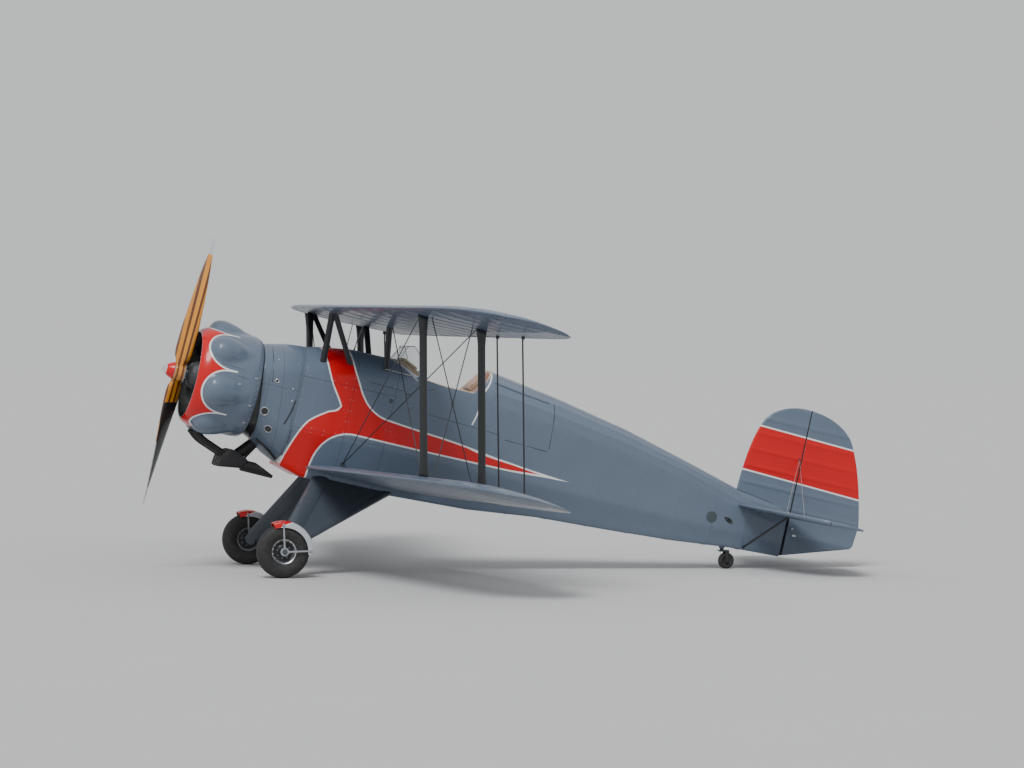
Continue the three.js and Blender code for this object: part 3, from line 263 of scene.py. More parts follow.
def face_outwards(obj):
    work = bmesh.new()
    work.from_mesh(obj.data)
    bmesh.ops.remove_doubles(work, verts=work.verts, dist=1e-6)
    bmesh.ops.recalc_face_normals(work, faces=work.faces)
    work.to_mesh(obj.data)
    work.free()


def smoothed(obj, sharp=35.0):
    """Smooth shading that stops at edges sharper than an angle."""
    obj.data.polygons.foreach_set("use_smooth", [True] * len(obj.data.polygons))
    obj.data.set_sharp_from_angle(angle=math.radians(sharp))
    obj.data.update()
    return obj


def applied(obj):
    """The object with its modifiers made part of its mesh."""
    bpy.context.view_layer.update()
    evaluated = obj.evaluated_get(bpy.context.evaluated_depsgraph_get())
    mesh = bpy.data.meshes.new_from_object(evaluated)
    obj.modifiers.clear()
    old, obj.data = obj.data, mesh
    mesh.name = obj.name
    bpy.data.meshes.remove(old)
    return obj


def cut(obj, tool, operation="DIFFERENCE", sharp=35.0):
    """The object with a tool taken from it, or cut to the tool. The tool is used up."""
    modifier = obj.modifiers.new("cut", "BOOLEAN")
    modifier.operation, modifier.solver, modifier.object = operation, "EXACT", tool
    applied(obj)
    bpy.data.objects.remove(tool)
    return smoothed(obj, sharp)


def node_copy(node, name, width=1.2, segments=2, angle=30.0, sharp=35.0):
    """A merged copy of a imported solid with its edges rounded."""
    obj = bpy.data.objects.new(name, NODES[node].data.copy())
    bpy.context.scene.collection.objects.link(obj)
    work = bmesh.new()
    work.from_mesh(obj.data)
    bmesh.ops.remove_doubles(work, verts=work.verts, dist=2e-5)
    bmesh.ops.dissolve_limit(work, angle_limit=math.radians(0.4), verts=work.verts, edges=work.edges)
    work.to_mesh(obj.data)
    work.free()
    if width:
        modifier = obj.modifiers.new("round", "BEVEL")
        modifier.limit_method, modifier.angle_limit = "ANGLE", math.radians(angle)
        modifier.width, modifier.segments = width / 1000, segments
        modifier.use_clamp_overlap, modifier.miter_outer = True, "MITER_ARC"
        applied(obj)
    return smoothed(obj, sharp)


def dressed(obj, body, look=None, replaces=()):
    """Gives a finished piece its look, its body and the nodes that it stands for."""
    if look:
        obj.data.materials.clear()
        obj.data.materials.append(finish(look))
    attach(obj, body)
    if replaces:
        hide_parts(*([replaces] if isinstance(replaces, str) else replaces))
    return obj


def fitted(shape, name, look):
    """A shape of the airframe made and dressed, standing for no node."""
    return dressed(shape.made(name), "airframe", look)


def studded(name, spots, look, radius, height, sides, top, body="airframe"):
    """Studs made and dressed, standing for no node."""
    return dressed(studs(name, spots, look, radius, height, sides, top), body)


def with_attribute(obj, name, values):
    attribute = obj.data.attributes.new(name, "FLOAT", "POINT")
    attribute.data.foreach_set("value", np.asarray(values, np.float32))
    return obj


def level_points(obj):
    points = np.empty(len(obj.data.vertices) * 3)
    obj.data.vertices.foreach_get("co", points)
    return levelled(points.reshape(-1, 3))


# Fittings that repeat

def node_tree(name, inputs):
    """An empty Geometry Nodes tree with named inputs, and its input and output nodes."""
    tree = bpy.data.node_groups.new(name, "GeometryNodeTree")
    tree.interface.new_socket("Geometry", in_out="INPUT", socket_type="NodeSocketGeometry")
    for label, kind, value in inputs:
        socket = tree.interface.new_socket(label, in_out="INPUT", socket_type="NodeSocket" + kind)
        if value is not None:
            socket.default_value = value
    tree.interface.new_socket("Material", in_out="INPUT", socket_type="NodeSocketMaterial")
    tree.interface.new_socket("Geometry", in_out="OUTPUT", socket_type="NodeSocketGeometry")
    return tree, tree.nodes.new("NodeGroupInput"), tree.nodes.new("NodeGroupOutput")


def finished_tree(tree, given, leaving, instances):
    """Ends a tree: real meshes out of its instances, with the material."""
    real = tree.nodes.new("GeometryNodeRealizeInstances")
    coat = tree.nodes.new("GeometryNodeSetMaterial")
    tree.links.new(instances, real.inputs[0])
    tree.links.new(real.outputs[0], coat.inputs["Geometry"])
    tree.links.new(given.outputs["Material"], coat.inputs["Material"])
    tree.links.new(coat.outputs[0], leaving.inputs[0])
    return tree


def studs_tree():
    """A round or many-sided stud on every point, standing along the point's attribute facing."""
    tree, given, leaving = node_tree("studs_on_points", [
        ("Radius", "Float", 0.004), ("Top radius", "Float", 0.003), ("Height", "Float", 0.002), ("Sides", "Int", 8)])
    stud = tree.nodes.new("GeometryNodeMeshCone")
    facing = tree.nodes.new("GeometryNodeInputNamedAttribute")
    facing.data_type = "FLOAT_VECTOR"
    facing.inputs["Name"].default_value = "facing"
    turn = tree.nodes.new("FunctionNodeAlignRotationToVector")
    turn.axis = "Z"
    spread = tree.nodes.new("GeometryNodeInstanceOnPoints")
    for label, socket in (("Sides", "Vertices"), ("Radius", "Radius Bottom"), ("Top radius", "Radius Top"),
                          ("Height", "Depth")):
        tree.links.new(given.outputs[label], stud.inputs[socket])
    tree.links.new(facing.outputs["Attribute"], turn.inputs["Vector"])
    tree.links.new(given.outputs["Geometry"], spread.inputs["Points"])
    tree.links.new(stud.outputs["Mesh"], spread.inputs["Instance"])
    tree.links.new(turn.outputs[0], spread.inputs["Rotation"])
    return finished_tree(tree, given, leaving, spread.outputs[0])


def stitches_tree():
    """Short threads along a line, one every pitch."""
    tree, given, leaving = node_tree("stitches_along_lines", [
        ("Pitch", "Float", 0.009), ("Length", "Float", 0.006), ("Thread", "Float", 0.0011), ("Sides", "Int", 6)])
    line = tree.nodes.new("GeometryNodeMeshToCurve")
    even = tree.nodes.new("GeometryNodeResampleCurve")
    even.mode = "LENGTH"
    thread = tree.nodes.new("GeometryNodeMeshCylinder")
    tangent = tree.nodes.new("GeometryNodeInputTangent")
    turn = tree.nodes.new("FunctionNodeAlignRotationToVector")
    turn.axis = "Z"
    spread = tree.nodes.new("GeometryNodeInstanceOnPoints")
    tree.links.new(given.outputs["Geometry"], line.inputs["Mesh"])
    tree.links.new(line.outputs[0], even.inputs["Curve"])
    tree.links.new(given.outputs["Pitch"], even.inputs["Length"])
    tree.links.new(given.outputs["Sides"], thread.inputs["Vertices"])
    tree.links.new(given.outputs["Thread"], thread.inputs["Radius"])
    tree.links.new(given.outputs["Length"], thread.inputs["Depth"])
    tree.links.new(tangent.outputs[0], turn.inputs["Vector"])
    tree.links.new(even.outputs[0], spread.inputs["Points"])
    tree.links.new(thread.outputs["Mesh"], spread.inputs["Instance"])
    tree.links.new(turn.outputs[0], spread.inputs["Rotation"])
    return finished_tree(tree, given, leaving, spread.outputs[0])


TREES = {}


def grown(obj, make_tree, look, **inputs):
    """Runs a tree over an object once and keeps the mesh that it makes."""
    name = make_tree.__name__
    if name not in TREES:
        TREES[name] = make_tree()
    modifier = obj.modifiers.new("fittings", "NODES")
    modifier.node_group = TREES[name]
    values = {key.replace("_", " "): value for key, value in inputs.items()} | {"Material": finish(look)}
    for item in TREES[name].interface.items_tree:
        if item.in_out == "INPUT" and item.name in values:
            modifier[item.identifier] = values[item.name]
    return smoothed(applied(obj), 40)


def studs(name, spots, look, radius, height, sides, top):
    """Equal studs on spots, which are pairs of a point and the way that it faces."""
    points, facings = (np.array(column, float) for column in zip(*spots))
    obj = as_object(name, placed(points), [])
    ways = placed_step(facings * 1000)
    obj.data.attributes.new("facing", "FLOAT_VECTOR", "POINT").data.foreach_set("vector", ways.ravel())
    return grown(obj, studs_tree, look, Radius=radius / 1000, Top_radius=radius * top / 1000,
                 Height=height / 1000, Sides=sides)


def stitches(name, lines, look, pitch, length, thread):
    """Threads along open lines of points."""
    mesh = bpy.data.meshes.new(name)
    points, edges = [], []
    for line in lines:
        edges += [(len(points) + k, len(points) + k + 1) for k in range(len(line) - 1)]
        points += [tuple(p) for p in placed(line)]
    mesh.from_pydata(points, edges, [])
    obj = bpy.data.objects.new(name, mesh)
    bpy.context.scene.collection.objects.link(obj)
    return grown(obj, stitches_tree, look, Pitch=pitch / 1000, Length=length / 1000, Thread=thread / 1000)


# Shaders

class Graph:
    """A material's nodes, added one call at a time."""

    def __init__(self, name):
        self.material = bpy.data.materials.new(name)
        self.material.use_nodes = True
        self.tree = self.material.node_tree
        self.tree.nodes.clear()
        output = self.tree.nodes.new("ShaderNodeOutputMaterial")
        self.shader = self.tree.nodes.new("ShaderNodeBsdfPrincipled")
        self.tree.links.new(self.shader.outputs[0], output.inputs[0])

    def node(self, kind, inputs=None, **settings):
        made = self.tree.nodes.new("ShaderNode" + kind)
        for key, value in settings.items():
            setattr(made, key, value)
        for key, value in (inputs or {}).items():
            self.feed(made.inputs[key], value)
        return made

    def feed(self, socket, value):
        """Links a socket to another, or sets a constant on it."""
        if isinstance(value, bpy.types.NodeSocket):
            self.tree.links.new(value, socket)
        else:
            socket.default_value = rgba(value) if socket.type == "RGBA" else value

    def set(self, **inputs):
        for key, value in inputs.items():
            self.feed(self.shader.inputs[key.replace("_", " ")], value)
        return self

    def math(self, operation, a, b=0.0):
        return self.node("Math", {0: a, 1: b}, operation=operation).outputs[0]

    def place(self):
        return self.node("TexCoord").outputs["Object"]

    def mapped(self, scale=(1, 1, 1), turn=(0, 0, 0), place=None):
        inputs = {"Vector": place or self.place(), "Scale": scale, "Rotation": turn}
        return self.node("Mapping", inputs).outputs[0]

    def level_place(self, scale=(1, 1, 1)):
        """Object coordinates turned level, in metres, about the frame's origin."""
        turned = self.mapped(turn=(0, -PITCH, 0))
        return self.mapped(scale=scale, place=turned)

    def noise(self, scale, detail=4.0, roughness=0.5, place=None):
        inputs = {"Vector": place or self.place(), "Scale": scale, "Detail": detail, "Roughness": roughness}
        return self.node("TexNoise", inputs).outputs["Fac"]

    def ramp(self, value, low, high, to_low=0.0, to_high=1.0):
        inputs = {"Value": value, "From Min": low, "From Max": high, "To Min": to_low, "To Max": to_high}
        return self.node("MapRange", inputs).outputs[0]

    def mix(self, share, a, b):
        made = self.node("Mix", data_type="RGBA")
        for key, value in (("Factor", share), (6, a), (7, b)):
            self.feed(made.inputs[key], value)
        return made.outputs[2]

    def attribute(self, name):
        return self.node("Attribute", attribute_name=name).outputs["Fac"]

    def beyond(self, normal, point):
        """Millimetres beyond a plane of the level airframe, given by its normal and a point on it."""
        normal = unit(normal)
        turned = placed_step(normal * 1000)
        through = float(placed(point) @ turned)
        dot = self.node("VectorMath", {0: self.place(), 1: tuple(turned)}, operation="DOT_PRODUCT")
        return self.math("MULTIPLY", self.math("SUBTRACT", dot.outputs["Value"], through), 1000.0)

    def bump(self, height, distance, strength=1.0, normal=None):
        inputs = {"Height": height, "Distance": distance, "Strength": strength}
        if normal is not None:
            inputs["Normal"] = normal
        return self.node("Bump", inputs).outputs[0]


def rgba(colour):
    return (*tuple(colour)[:3], 1.0)


def colours():
    return bpy.context.scene.biplane_colours


def sizes():
    return bpy.context.scene.biplane_sizes


FINISHES = {}


def finish(name):
    """A finish by name, made when it is first asked for."""
    if name not in FINISHES:
        FINISHES[name] = FINISH_MAKERS[name]()
    return FINISHES[name]


def gloss_paint(graph, colour, roughness=0.3, coat=0.2):
    """Brushed-on gloss paint: faint mottling, a few duller patches and a slight orange peel."""
    mottle = graph.noise(1.6, 5.0, 0.6)
    dark = graph.node("HueSaturation", {"Color": colour, "Value": graph.ramp(mottle, 0.3, 0.7, 0.95, 1.04)})
    patches = graph.noise(7.0, 6.0, 0.65)
    graph.set(
        Base_Color=dark.outputs[0],
        Roughness=graph.ramp(patches, 0.3, 0.75, roughness * 0.85, roughness * 1.25),
        Coat_Weight=coat,
        Coat_Roughness=0.08,
        Specular_IOR_Level=0.35,
    )
    return graph.bump(graph.noise(9.0, 3.0), 0.0006, 0.12)


def striped(graph, distance, outside=None):
    """Red inside a line, another colour outside it and a white edging along it."""
    c, half = colours(), sizes().edging * 500
    soft = 0.7
    to_white = graph.ramp(distance, -half - soft, -half + soft)
    to_outside = graph.ramp(distance, half - soft, half + soft)
    return graph.mix(to_outside, graph.mix(to_white, c.red, c.white), outside or c.grey)


def darkened(graph, colour, share, amount=0.8):
    """A colour with dark lines or spots where share is one: dark seams, and in places painted shade."""
    return graph.mix(graph.math("MULTIPLY", share, amount), colour, (0.012, 0.012, 0.015))


def seams(graph, distances, half_width=0.9):
    """One at the seams, which are a few planes' zero lines, and none elsewhere."""
    nearest = None
    for distance in distances:
        size = graph.math("ABSOLUTE", distance)
        nearest = size if nearest is None else graph.math("MINIMUM", nearest, size)
    return graph.ramp(nearest, half_width, half_width + 0.8, 1.0, 0.0)


def flash(graph, outside=None):
    """Red where the attribute edge is below zero, with the white edging along its zero line."""
    return striped(graph, graph.attribute("edge"), outside)


def gloss(name, colour, roughness=0.3, coat=0.2):
    """One gloss paint. Its colour may be a function that adds nodes of its own."""
    graph = Graph(name)
    normal = gloss_paint(graph, colour(graph) if callable(colour) else colour, roughness, coat)
    return graph.set(Normal=normal).material


def shell_paint():
    """The cockpit's skin with the flash. The sloping face behind the headrest is lined with its cloth."""
    graph = Graph("cockpit_paint_with_red_flash")
    foot, head = (np.array([x, 0, z]) for x, z in DECK_FRONT.values())
    slope = unit(head - foot)
    on_face = graph.ramp(graph.beyond((-slope[2], 0, slope[0]), foot), -0.7, -0.5)
    above = graph.math("MULTIPLY", on_face, graph.ramp(graph.beyond(AFT, (2486, 0, 0)), 0.0, 1.0))
    lining = graph.mix(graph.noise(40.0, 5.0), (0.26, 0.15, 0.11), (0.36, 0.22, 0.165))
    colour = graph.mix(above, flash(graph), lining)
    normal = gloss_paint(graph, colour)
    return graph.set(Normal=normal).material


def panel_paint():
    """The metal panels ahead of the cockpit: the flash, and panel seams with a dark line in them."""
    graph = Graph("panelled_grey_paint_with_red_flash")
    at = [graph.beyond(AFT, (x, 0, 0)) for x in (1078, 1500, 1838)]
    along = [graph.beyond(UP, (0, 0, z)) for z in (-242, 168)]
    seam = seams(graph, at + along)
    colour = darkened(graph, flash(graph), seam)
    normal = gloss_paint(graph, colour)
    return graph.set(Normal=graph.bump(seam, 0.001, -0.8, normal)).material


def fin_paint():
    """The red band across fin and rudder between two white lines, and a dark hinge line that is painted shade in the
    gap between fin and rudder.
    """
    graph = Graph("grey_paint_with_red_tail_band")
    top = graph.beyond((0.0342, 0, 1), (5014, 0, 634))
    bottom = graph.beyond((-0.0379, 0, -1), (4951, 0, 247))
    hinge = graph.math("ABSOLUTE", graph.beyond(AFT, (5450, 0, 0)))
    banded = striped(graph, graph.math("MAXIMUM", top, bottom))
    # Painted shade: a dark band along the hinge gap between fin and rudder.
    colour = darkened(graph, banded, graph.ramp(hinge, 6.5, 7.5, 1.0, 0.0), 0.93)
    return graph.set(Normal=gloss_paint(graph, colour)).material


def silver_paint():
    graph = Graph("silver_dope")
    flakes = graph.noise(700.0, 2.0)
    colour = graph.node("HueSaturation", {"Color": colours().silver, "Value": graph.ramp(flakes, 0.3, 0.7, 0.9, 1.1)})
    graph.set(Base_Color=colour.outputs[0], Metallic=0.25, Roughness=graph.ramp(graph.noise(12.0), 0.3, 0.7, 0.34, 0.5))
    return graph.set(Normal=graph.bump(graph.noise(9.0, 2.0), 0.0006, 0.1)).material


def red_paint():
    graph = Graph("red_gloss_paint_with_polished_tip")
    normal = gloss_paint(graph, colours().red, 0.24, 0.4)
    tip = graph.math("LESS_THAN", graph.beyond(AFT, (38, 0, 0)), 0.0)
    colour = graph.mix(tip, colours().red, (0.8, 0.8, 0.82))
    return graph.set(Base_Color=colour, Metallic=tip, Normal=normal).material


def black_paint():
    graph = Graph("black_satin_paint")
    chips = graph.noise(60.0, 6.0, 0.7)
    worn = graph.ramp(chips, 0.69, 0.72)
    colour = graph.mix(graph.math("MULTIPLY", worn, 0.35), colours().black, (0.12, 0.12, 0.13))
    graph.set(Base_Color=colour, Roughness=graph.ramp(graph.noise(14.0, 5.0), 0.3, 0.7, 0.26, 0.44), Coat_Weight=0.25)
    return graph.set(Normal=graph.bump(graph.noise(180.0, 2.0), 0.0004, 0.15)).material


def steel(name, colour, roughness, scale=90.0, metallic=0.9):
    graph = Graph(name)
    streaks = graph.noise(scale, 5.0, 0.6, graph.mapped(scale=(0.15, 1.0, 1.0)))
    tint = graph.node("HueSaturation", {"Color": colour, "Value": graph.ramp(streaks, 0.3, 0.7, 0.75, 1.15)})
    graph.set(Base_Color=tint.outputs[0], Metallic=metallic)
    graph.set(Roughness=graph.ramp(graph.noise(30.0, 4.0), 0.3, 0.7, roughness * 0.75, roughness * 1.4))
    return graph.set(Normal=graph.bump(streaks, 0.0003, 0.25)).material


def exhaust_steel():
    """Mild steel burnt brown and blue, in patches."""
    graph = Graph("burnt_exhaust_steel")
    patches = graph.noise(16.0, 7.0, 0.68)
    rust = graph.mix(graph.ramp(patches, 0.5, 0.72), (0.013, 0.013, 0.015), (0.032, 0.026, 0.023))
    graph.set(Base_Color=rust, Metallic=0.3, Roughness=graph.ramp(patches, 0.3, 0.7, 0.38, 0.6))
    return graph.set(Normal=graph.bump(graph.noise(220.0, 4.0), 0.0006, 0.35)).material


def blade_wood():
    """Varnished laminations that lie square to the shaft, black behind, with metal over the leading edge and tip."""
    graph = Graph("laminated_blade")
    layer = graph.math("DIVIDE", graph.beyond(AFT, (PROP_X - 21, 0, 0)), sizes().lamination * 1000)
    inside = graph.math("FRACT", layer)
    which = graph.math("FLOOR", layer)
    tone = graph.node("TexWhiteNoise", {"W": which}, noise_dimensions="1D").outputs["Value"]
    turned = graph.mapped(turn=(-PARKED, 0, 0), place=graph.mapped(turn=(0, -PITCH, 0)))
    grain = graph.noise(60.0, 6.0, 0.6, graph.mapped(scale=(1.0, 1.0, 0.05), place=turned))
    light = graph.mix(graph.ramp(grain, 0.3, 0.7), (0.66, 0.24, 0.018), (0.86, 0.36, 0.035))
    light = graph.node("HueSaturation", {"Color": light, "Value": graph.ramp(tone, 0.0, 1.0, 0.8, 1.1)}).outputs[0]
    dark = graph.mix(graph.ramp(grain, 0.3, 0.7), (0.10, 0.028, 0.006), (0.17, 0.05, 0.010))
    glue = graph.ramp(graph.math("ABSOLUTE", graph.math("SUBTRACT", inside, 0.5)), 0.30, 0.32)
    wood = graph.mix(glue, light, dark)
    front = graph.ramp(graph.attribute("front"), -0.8, 0.8)
    sheath = graph.ramp(graph.attribute("sheath"), -0.5, 0.5)
    colour = graph.mix(front, (0.012, 0.012, 0.013), wood)
    colour = graph.mix(sheath, colour, (0.86, 0.87, 0.88))
    rough = graph.math("ADD", graph.ramp(front, 0.0, 1.0, 0.5, 0.2), graph.math("MULTIPLY", sheath, 0.1))
    graph.set(Base_Color=colour, Metallic=sheath, Roughness=rough, Coat_Weight=0.3, Coat_Roughness=0.1)
    return graph.set(Normal=graph.bump(grain, 0.0003, 0.2)).material


def tyre_rubber():
    graph = Graph("tyre_rubber")
    dust = graph.noise(34.0, 6.0, 0.7)
    colour = graph.mix(graph.ramp(dust, 0.45, 0.8, 0.0, 0.5), colours().rubber, (0.09, 0.085, 0.075))
    graph.set(Base_Color=colour, Roughness=graph.ramp(dust, 0.3, 0.7, 0.6, 0.85))
    return graph.set(Normal=graph.bump(graph.noise(260.0, 4.0), 0.0005, 0.4)).material


def clear_sheet():
    graph = Graph("clear_screen_sheet")
    graph.set(
        Base_Color=(0.36, 0.62, 0.60, 1.0), Roughness=0.04, IOR=1.45, Alpha=0.15, Specular_IOR_Level=0.6,
        Coat_Weight=0.3,
    )
    scratches = graph.noise(40.0, 5.0, 0.6, graph.mapped(scale=(1.0, 1.0, 6.0)))
    graph.set(Roughness=graph.ramp(scratches, 0.5, 0.8, 0.03, 0.14))
    return graph.material


def leather():
    """Tan hide: pores and darker creases."""
    graph = Graph("tan_leather")
    pores = graph.node("TexVoronoi", {"Vector": graph.place(), "Scale": 420.0}).outputs["Distance"]
    creases = graph.noise(26.0, 7.0, 0.7)
    colour = graph.mix(graph.ramp(creases, 0.35, 0.65), (0.42, 0.17, 0.045), (0.72, 0.34, 0.11))
    graph.set(Base_Color=colour, Roughness=graph.ramp(creases, 0.3, 0.7, 0.42, 0.62), Sheen_Weight=0.15)
    normal = graph.bump(pores, 0.0008, 0.4)
    return graph.set(Normal=graph.bump(creases, 0.002, 0.25, normal)).material


def canvas():
    """Beige canvas: a plain weave, a little soiled."""
    graph = Graph("beige_canvas")
    place = graph.level_place()
    wave = dict(wave_type="BANDS", wave_profile="SIN")
    warp = graph.node("TexWave", {"Vector": place, "Scale": 190.0}, bands_direction="Y", **wave).outputs["Fac"]
    weft = graph.node("TexWave", {"Vector": place, "Scale": 190.0}, bands_direction="Z", **wave).outputs["Fac"]
    weave = graph.math("MULTIPLY", warp, weft)
    stain = graph.noise(14.0, 6.0, 0.65)
    thread = graph.mix(graph.ramp(stain, 0.35, 0.7), (0.34, 0.20, 0.15), (0.50, 0.33, 0.25))
    colour = graph.mix(graph.math("MULTIPLY", weave, 0.35), thread, (0.62, 0.46, 0.36))
    graph.set(Base_Color=colour, Roughness=0.86, Sheen_Weight=0.3)
    return graph.set(Normal=graph.bump(weave, 0.0008, 0.5)).material


def webbing():
    graph = Graph("khaki_webbing")
    wave = graph.node("TexWave", {"Vector": graph.level_place(), "Scale": 260.0}, wave_type="BANDS",
                      bands_direction="Z").outputs["Fac"]
    colour = graph.mix(wave, (0.20, 0.17, 0.11), (0.33, 0.29, 0.20))
    return graph.set(Base_Color=colour, Roughness=0.88, Sheen_Weight=0.2,
                     Normal=graph.bump(wave, 0.0006, 0.5)).material


def dial_face():
    """Matt black under glass, with a little dust."""
    graph = Graph("dial_face")
    dust = graph.noise(90.0, 5.0, 0.6)
    colour = graph.mix(graph.ramp(dust, 0.55, 0.8, 0.0, 0.3), (0.01, 0.01, 0.012), (0.10, 0.10, 0.09))
    return graph.set(Base_Color=colour, Roughness=0.3, Coat_Weight=0.8, Coat_Roughness=0.03).material


def floor_paint():
    graph = Graph("pale_floor")
    mottle = graph.noise(0.8, 4.0)
    colour = graph.mix(mottle, [FLOOR_TONE * 0.985] * 3, [FLOOR_TONE * 1.015] * 3)
    return graph.set(Base_Color=colour, Roughness=0.9, Specular_IOR_Level=0.0).material


FINISH_MAKERS = {
    "grey": lambda: gloss("grey_gloss_paint", colours().grey),
    "flash": lambda: gloss("grey_paint_with_red_flash", flash),
    "panels": panel_paint,
    "shell": shell_paint,
    "bay": lambda: bay_paint(),
    "fin": fin_paint,
    "mudguard": lambda: gloss("silver_paint_with_red_front_cap",
                              lambda graph: flash(graph, colours().silver)),
    "cowl": lambda: gloss("cowl_paint_red_before_the_scallops", flash, 0.28, 0.3),
    "silver": silver_paint,
    "red": red_paint,
    "black": black_paint,
    # The legs' paint is the body's blue-grey darkened as painted shade, for the shadow that the legs stood in.
    "leg": lambda: gloss("dark_blue_grey_paint", colours().leg, 0.34, 0.4),
    "stay": lambda: steel("dark_stay_steel", (0.10, 0.105, 0.11), 0.35),
    "bright": lambda: steel("bright_steel", (0.56, 0.57, 0.58), 0.28),
    "cast": lambda: steel("dark_cast_metal", (0.075, 0.078, 0.085), 0.5, 40.0, 0.6),
    "aluminium": lambda: steel("turned_aluminium", (0.60, 0.61, 0.63), 0.32, 120.0),
    "seat": lambda: steel("sheet_aluminium", (0.42, 0.43, 0.44), 0.42, 60.0),
    "lining": lambda: steel("bare_cowl_lining", (0.16, 0.165, 0.17), 0.5, 50.0, 0.7),
    "brass": lambda: steel("brass", (0.46, 0.31, 0.12), 0.35),
    "exhaust": exhaust_steel,
    "brace": lambda: steel("pale_brace_paint", (0.34, 0.36, 0.39), 0.4, 30.0, 0.2),
    "wheel": lambda: steel("dark_wheel_disc", (0.035, 0.038, 0.043), 0.42, 40.0, 0.4),
    "white": lambda: gloss("white_edging_paint", colours().white, 0.35, 0.1),
    "thread": lambda: gloss("waxed_thread", (0.62, 0.50, 0.34), 0.7, 0.1),
    "piping": lambda: gloss("pale_piping_leather", (0.55, 0.42, 0.29), 0.55, 0.1),
    "wood": blade_wood,
    "rubber": tyre_rubber,
    "clear": clear_sheet,
    "leather": leather,
    "canvas": canvas,
    "webbing": webbing,
    "dial": dial_face,
    "floor": floor_paint,
}


# Body

FIREWALL_X, SHELL_X, REAR_X, STERN_X = 1065, 1850, 2650, 5430
STATIONS = [
    # x, half-width, top, shoulder, lower longeron, bottom, half-width there
    (1065, 318, 402, 150, -255, -572, 215),
    (1240, 326, 436, 195, -262, -622, 225),
    (1470, 330, 470, 250, -265, -628, 230),
    (1850, 330, 472, 290, -265, -622, 232),
    (2000, 328, 486, 300, -265, -616, 232),
    (2650, 302, 556, 290, -262, -590, 214),
    (3245, 262, 466, 232, -266, -528, 186),
    (3895, 205, 343, 150, -279, -500, 146),
    (4470, 150, 200, 50, -283, -467, 108),
    (4980, 92, 66, -85, -282, -420, 66),
    (5430, 30, 10, -150, -290, -404, 22),
]
FRAMES = (2650, 2990, 3330, 3690, 4050, 4410, 4750, 5060, 5430)
OPENING = [(2010, 700), (2010, 359), (2060, 353), (2250, 337), (2478, 339), (2642, 552), (2790, 700)]
DECK_FRONT = {"foot": (2478, 339), "head": (2642, 552)}
OPENING_FRONT = {"x": 2012, "reach": 112, "half": 262}
SEAT_BACK_X = 2585
WALL = 22


def sunk_between(x, frames):
    """Zero at the frames and one half-way between them."""
    k = int(np.clip(np.searchsorted(frames, x, side="right") - 1, 0, len(frames) - 2))
    share = np.clip((x - frames[k]) / (frames[k + 1] - frames[k]), 0, 1)
    return math.sin(math.pi * share) ** 2


def eased_corner(before, corner, after, radius, steps=4):
    before, corner, after = (np.asarray(p, float) for p in (before, corner, after))
    reach = min(radius, np.linalg.norm(before - corner) * 0.45, np.linalg.norm(after - corner) * 0.45)
    start = corner + unit(before - corner) * reach
    end = corner + unit(after - corner) * reach
    t = np.linspace(0, 1, steps + 1)[:, None]
    return (1 - t) ** 2 * start + 2 * t * (1 - t) * corner + t**2 * end


def body_ring(x, wall=0.0, fabric=0.0, facets=0):
    """The outline of the body at x. fabric is how far the cloth sinks, facets how many flats the deck has."""
    half, top, shoulder, lower, bottom, foot = straight(STATIONS, x)[0]
    angles = np.linspace(0, math.pi, 49)
    arch = np.stack([-np.cos(angles) * (half - wall), shoulder + np.sin(angles) * (top - shoulder - wall)], -1)
    if facets:
        corners = np.linspace(0, 48, facets + 1).round().astype(int)
        arch = straight(np.column_stack([corners, arch[corners]]), np.arange(49))
        middle = np.array([0.0, shoulder])
        hollow = fabric * np.sin(np.arange(49) / 48 * facets * math.pi) ** 2
        reach = np.linalg.norm(arch - middle, axis=1)
        arch = middle + (arch - middle) * (1 - hollow / reach)[:, None]
    side = np.array([(half - wall, shoulder), (half - wall, lower), (foot - wall * 0.8, bottom + wall),
                     (-foot + wall * 0.8, bottom + wall)])
    radius = min(24, foot * 0.5)
    longeron = eased_corner(side[0], side[1], side[2], radius)
    chine = eased_corner(side[1], side[2], side[3], radius)
    down = np.linspace(side[0], longeron[0], 9)[1:-1]
    facet = np.linspace(longeron[-1], chine[0], 7)[1:-1]
    for band, way in ((down, (-1, 0)), (facet, (-0.95, 0.3))):
        share = np.linspace(0, 1, len(band) + 2)[1:-1, None]
        band += np.array(way) * 1.6 * fabric * np.sin(math.pi * share) ** 2
    belly = np.linspace(chine[-1], chine[-1] * (-1, 1), 9)[1:-1]
    right = np.concatenate([down, longeron, facet, chine])
    ring = np.concatenate([arch, right, belly, right[::-1] * (-1, 1)])
    return np.column_stack([np.full(len(ring), x), ring])


def xs_between(front, rear, step, stops=()):
    stops = sorted({front, rear, *[s for s in stops if front < s < rear]})
    spans = [np.linspace(a, b, max(2, int(round((b - a) / step)) + 1))[:-1] for a, b in zip(stops, stops[1:])]
    return np.concatenate([*spans, [rear]])


def flash_outline():
    """The red flash in side view: a branch over the deck, a taper along the side, a foot under the nose."""
    up_front = path_through([(1182, 520), (1222, 402), (1271, 259), (1322, 157), (1409, 29), (1441, -37)], 24)
    nose = path_through([(1441, -37), (1354, -57), (1295, -91), (1238, -132), (1190, -175), (1154, -233),
                         (1131, -285), (1106, -360), (1074, -474), (1040, -640)], 40)
    under = path_through([(1285, -640), (1292, -498), (1306, -421), (1340, -339), (1389, -278), (1446, -237),
                          (1507, -213), (1580, -203), (1799, -205), (2210, -208), (2658, -207), (3100, -204),
                          (3480, -199)], 60)
    top = path_through([(3480, -199), (3100, -168), (2681, -118), (2368, -79), (2175, -63), (2018, -48), (1887, -36),
                        (1774, -20), (1699, 12), (1638, 56), (1580, 125), (1538, 197), (1471, 321), (1436, 434),
                        (1409, 520)], 70)
    return np.concatenate([up_front, nose[1:], under, top[1:]])


def with_flash(obj):
    points = level_points(obj)
    return with_attribute(obj, "edge", signed_distance(points[:, [0, 2]], flash_outline()))


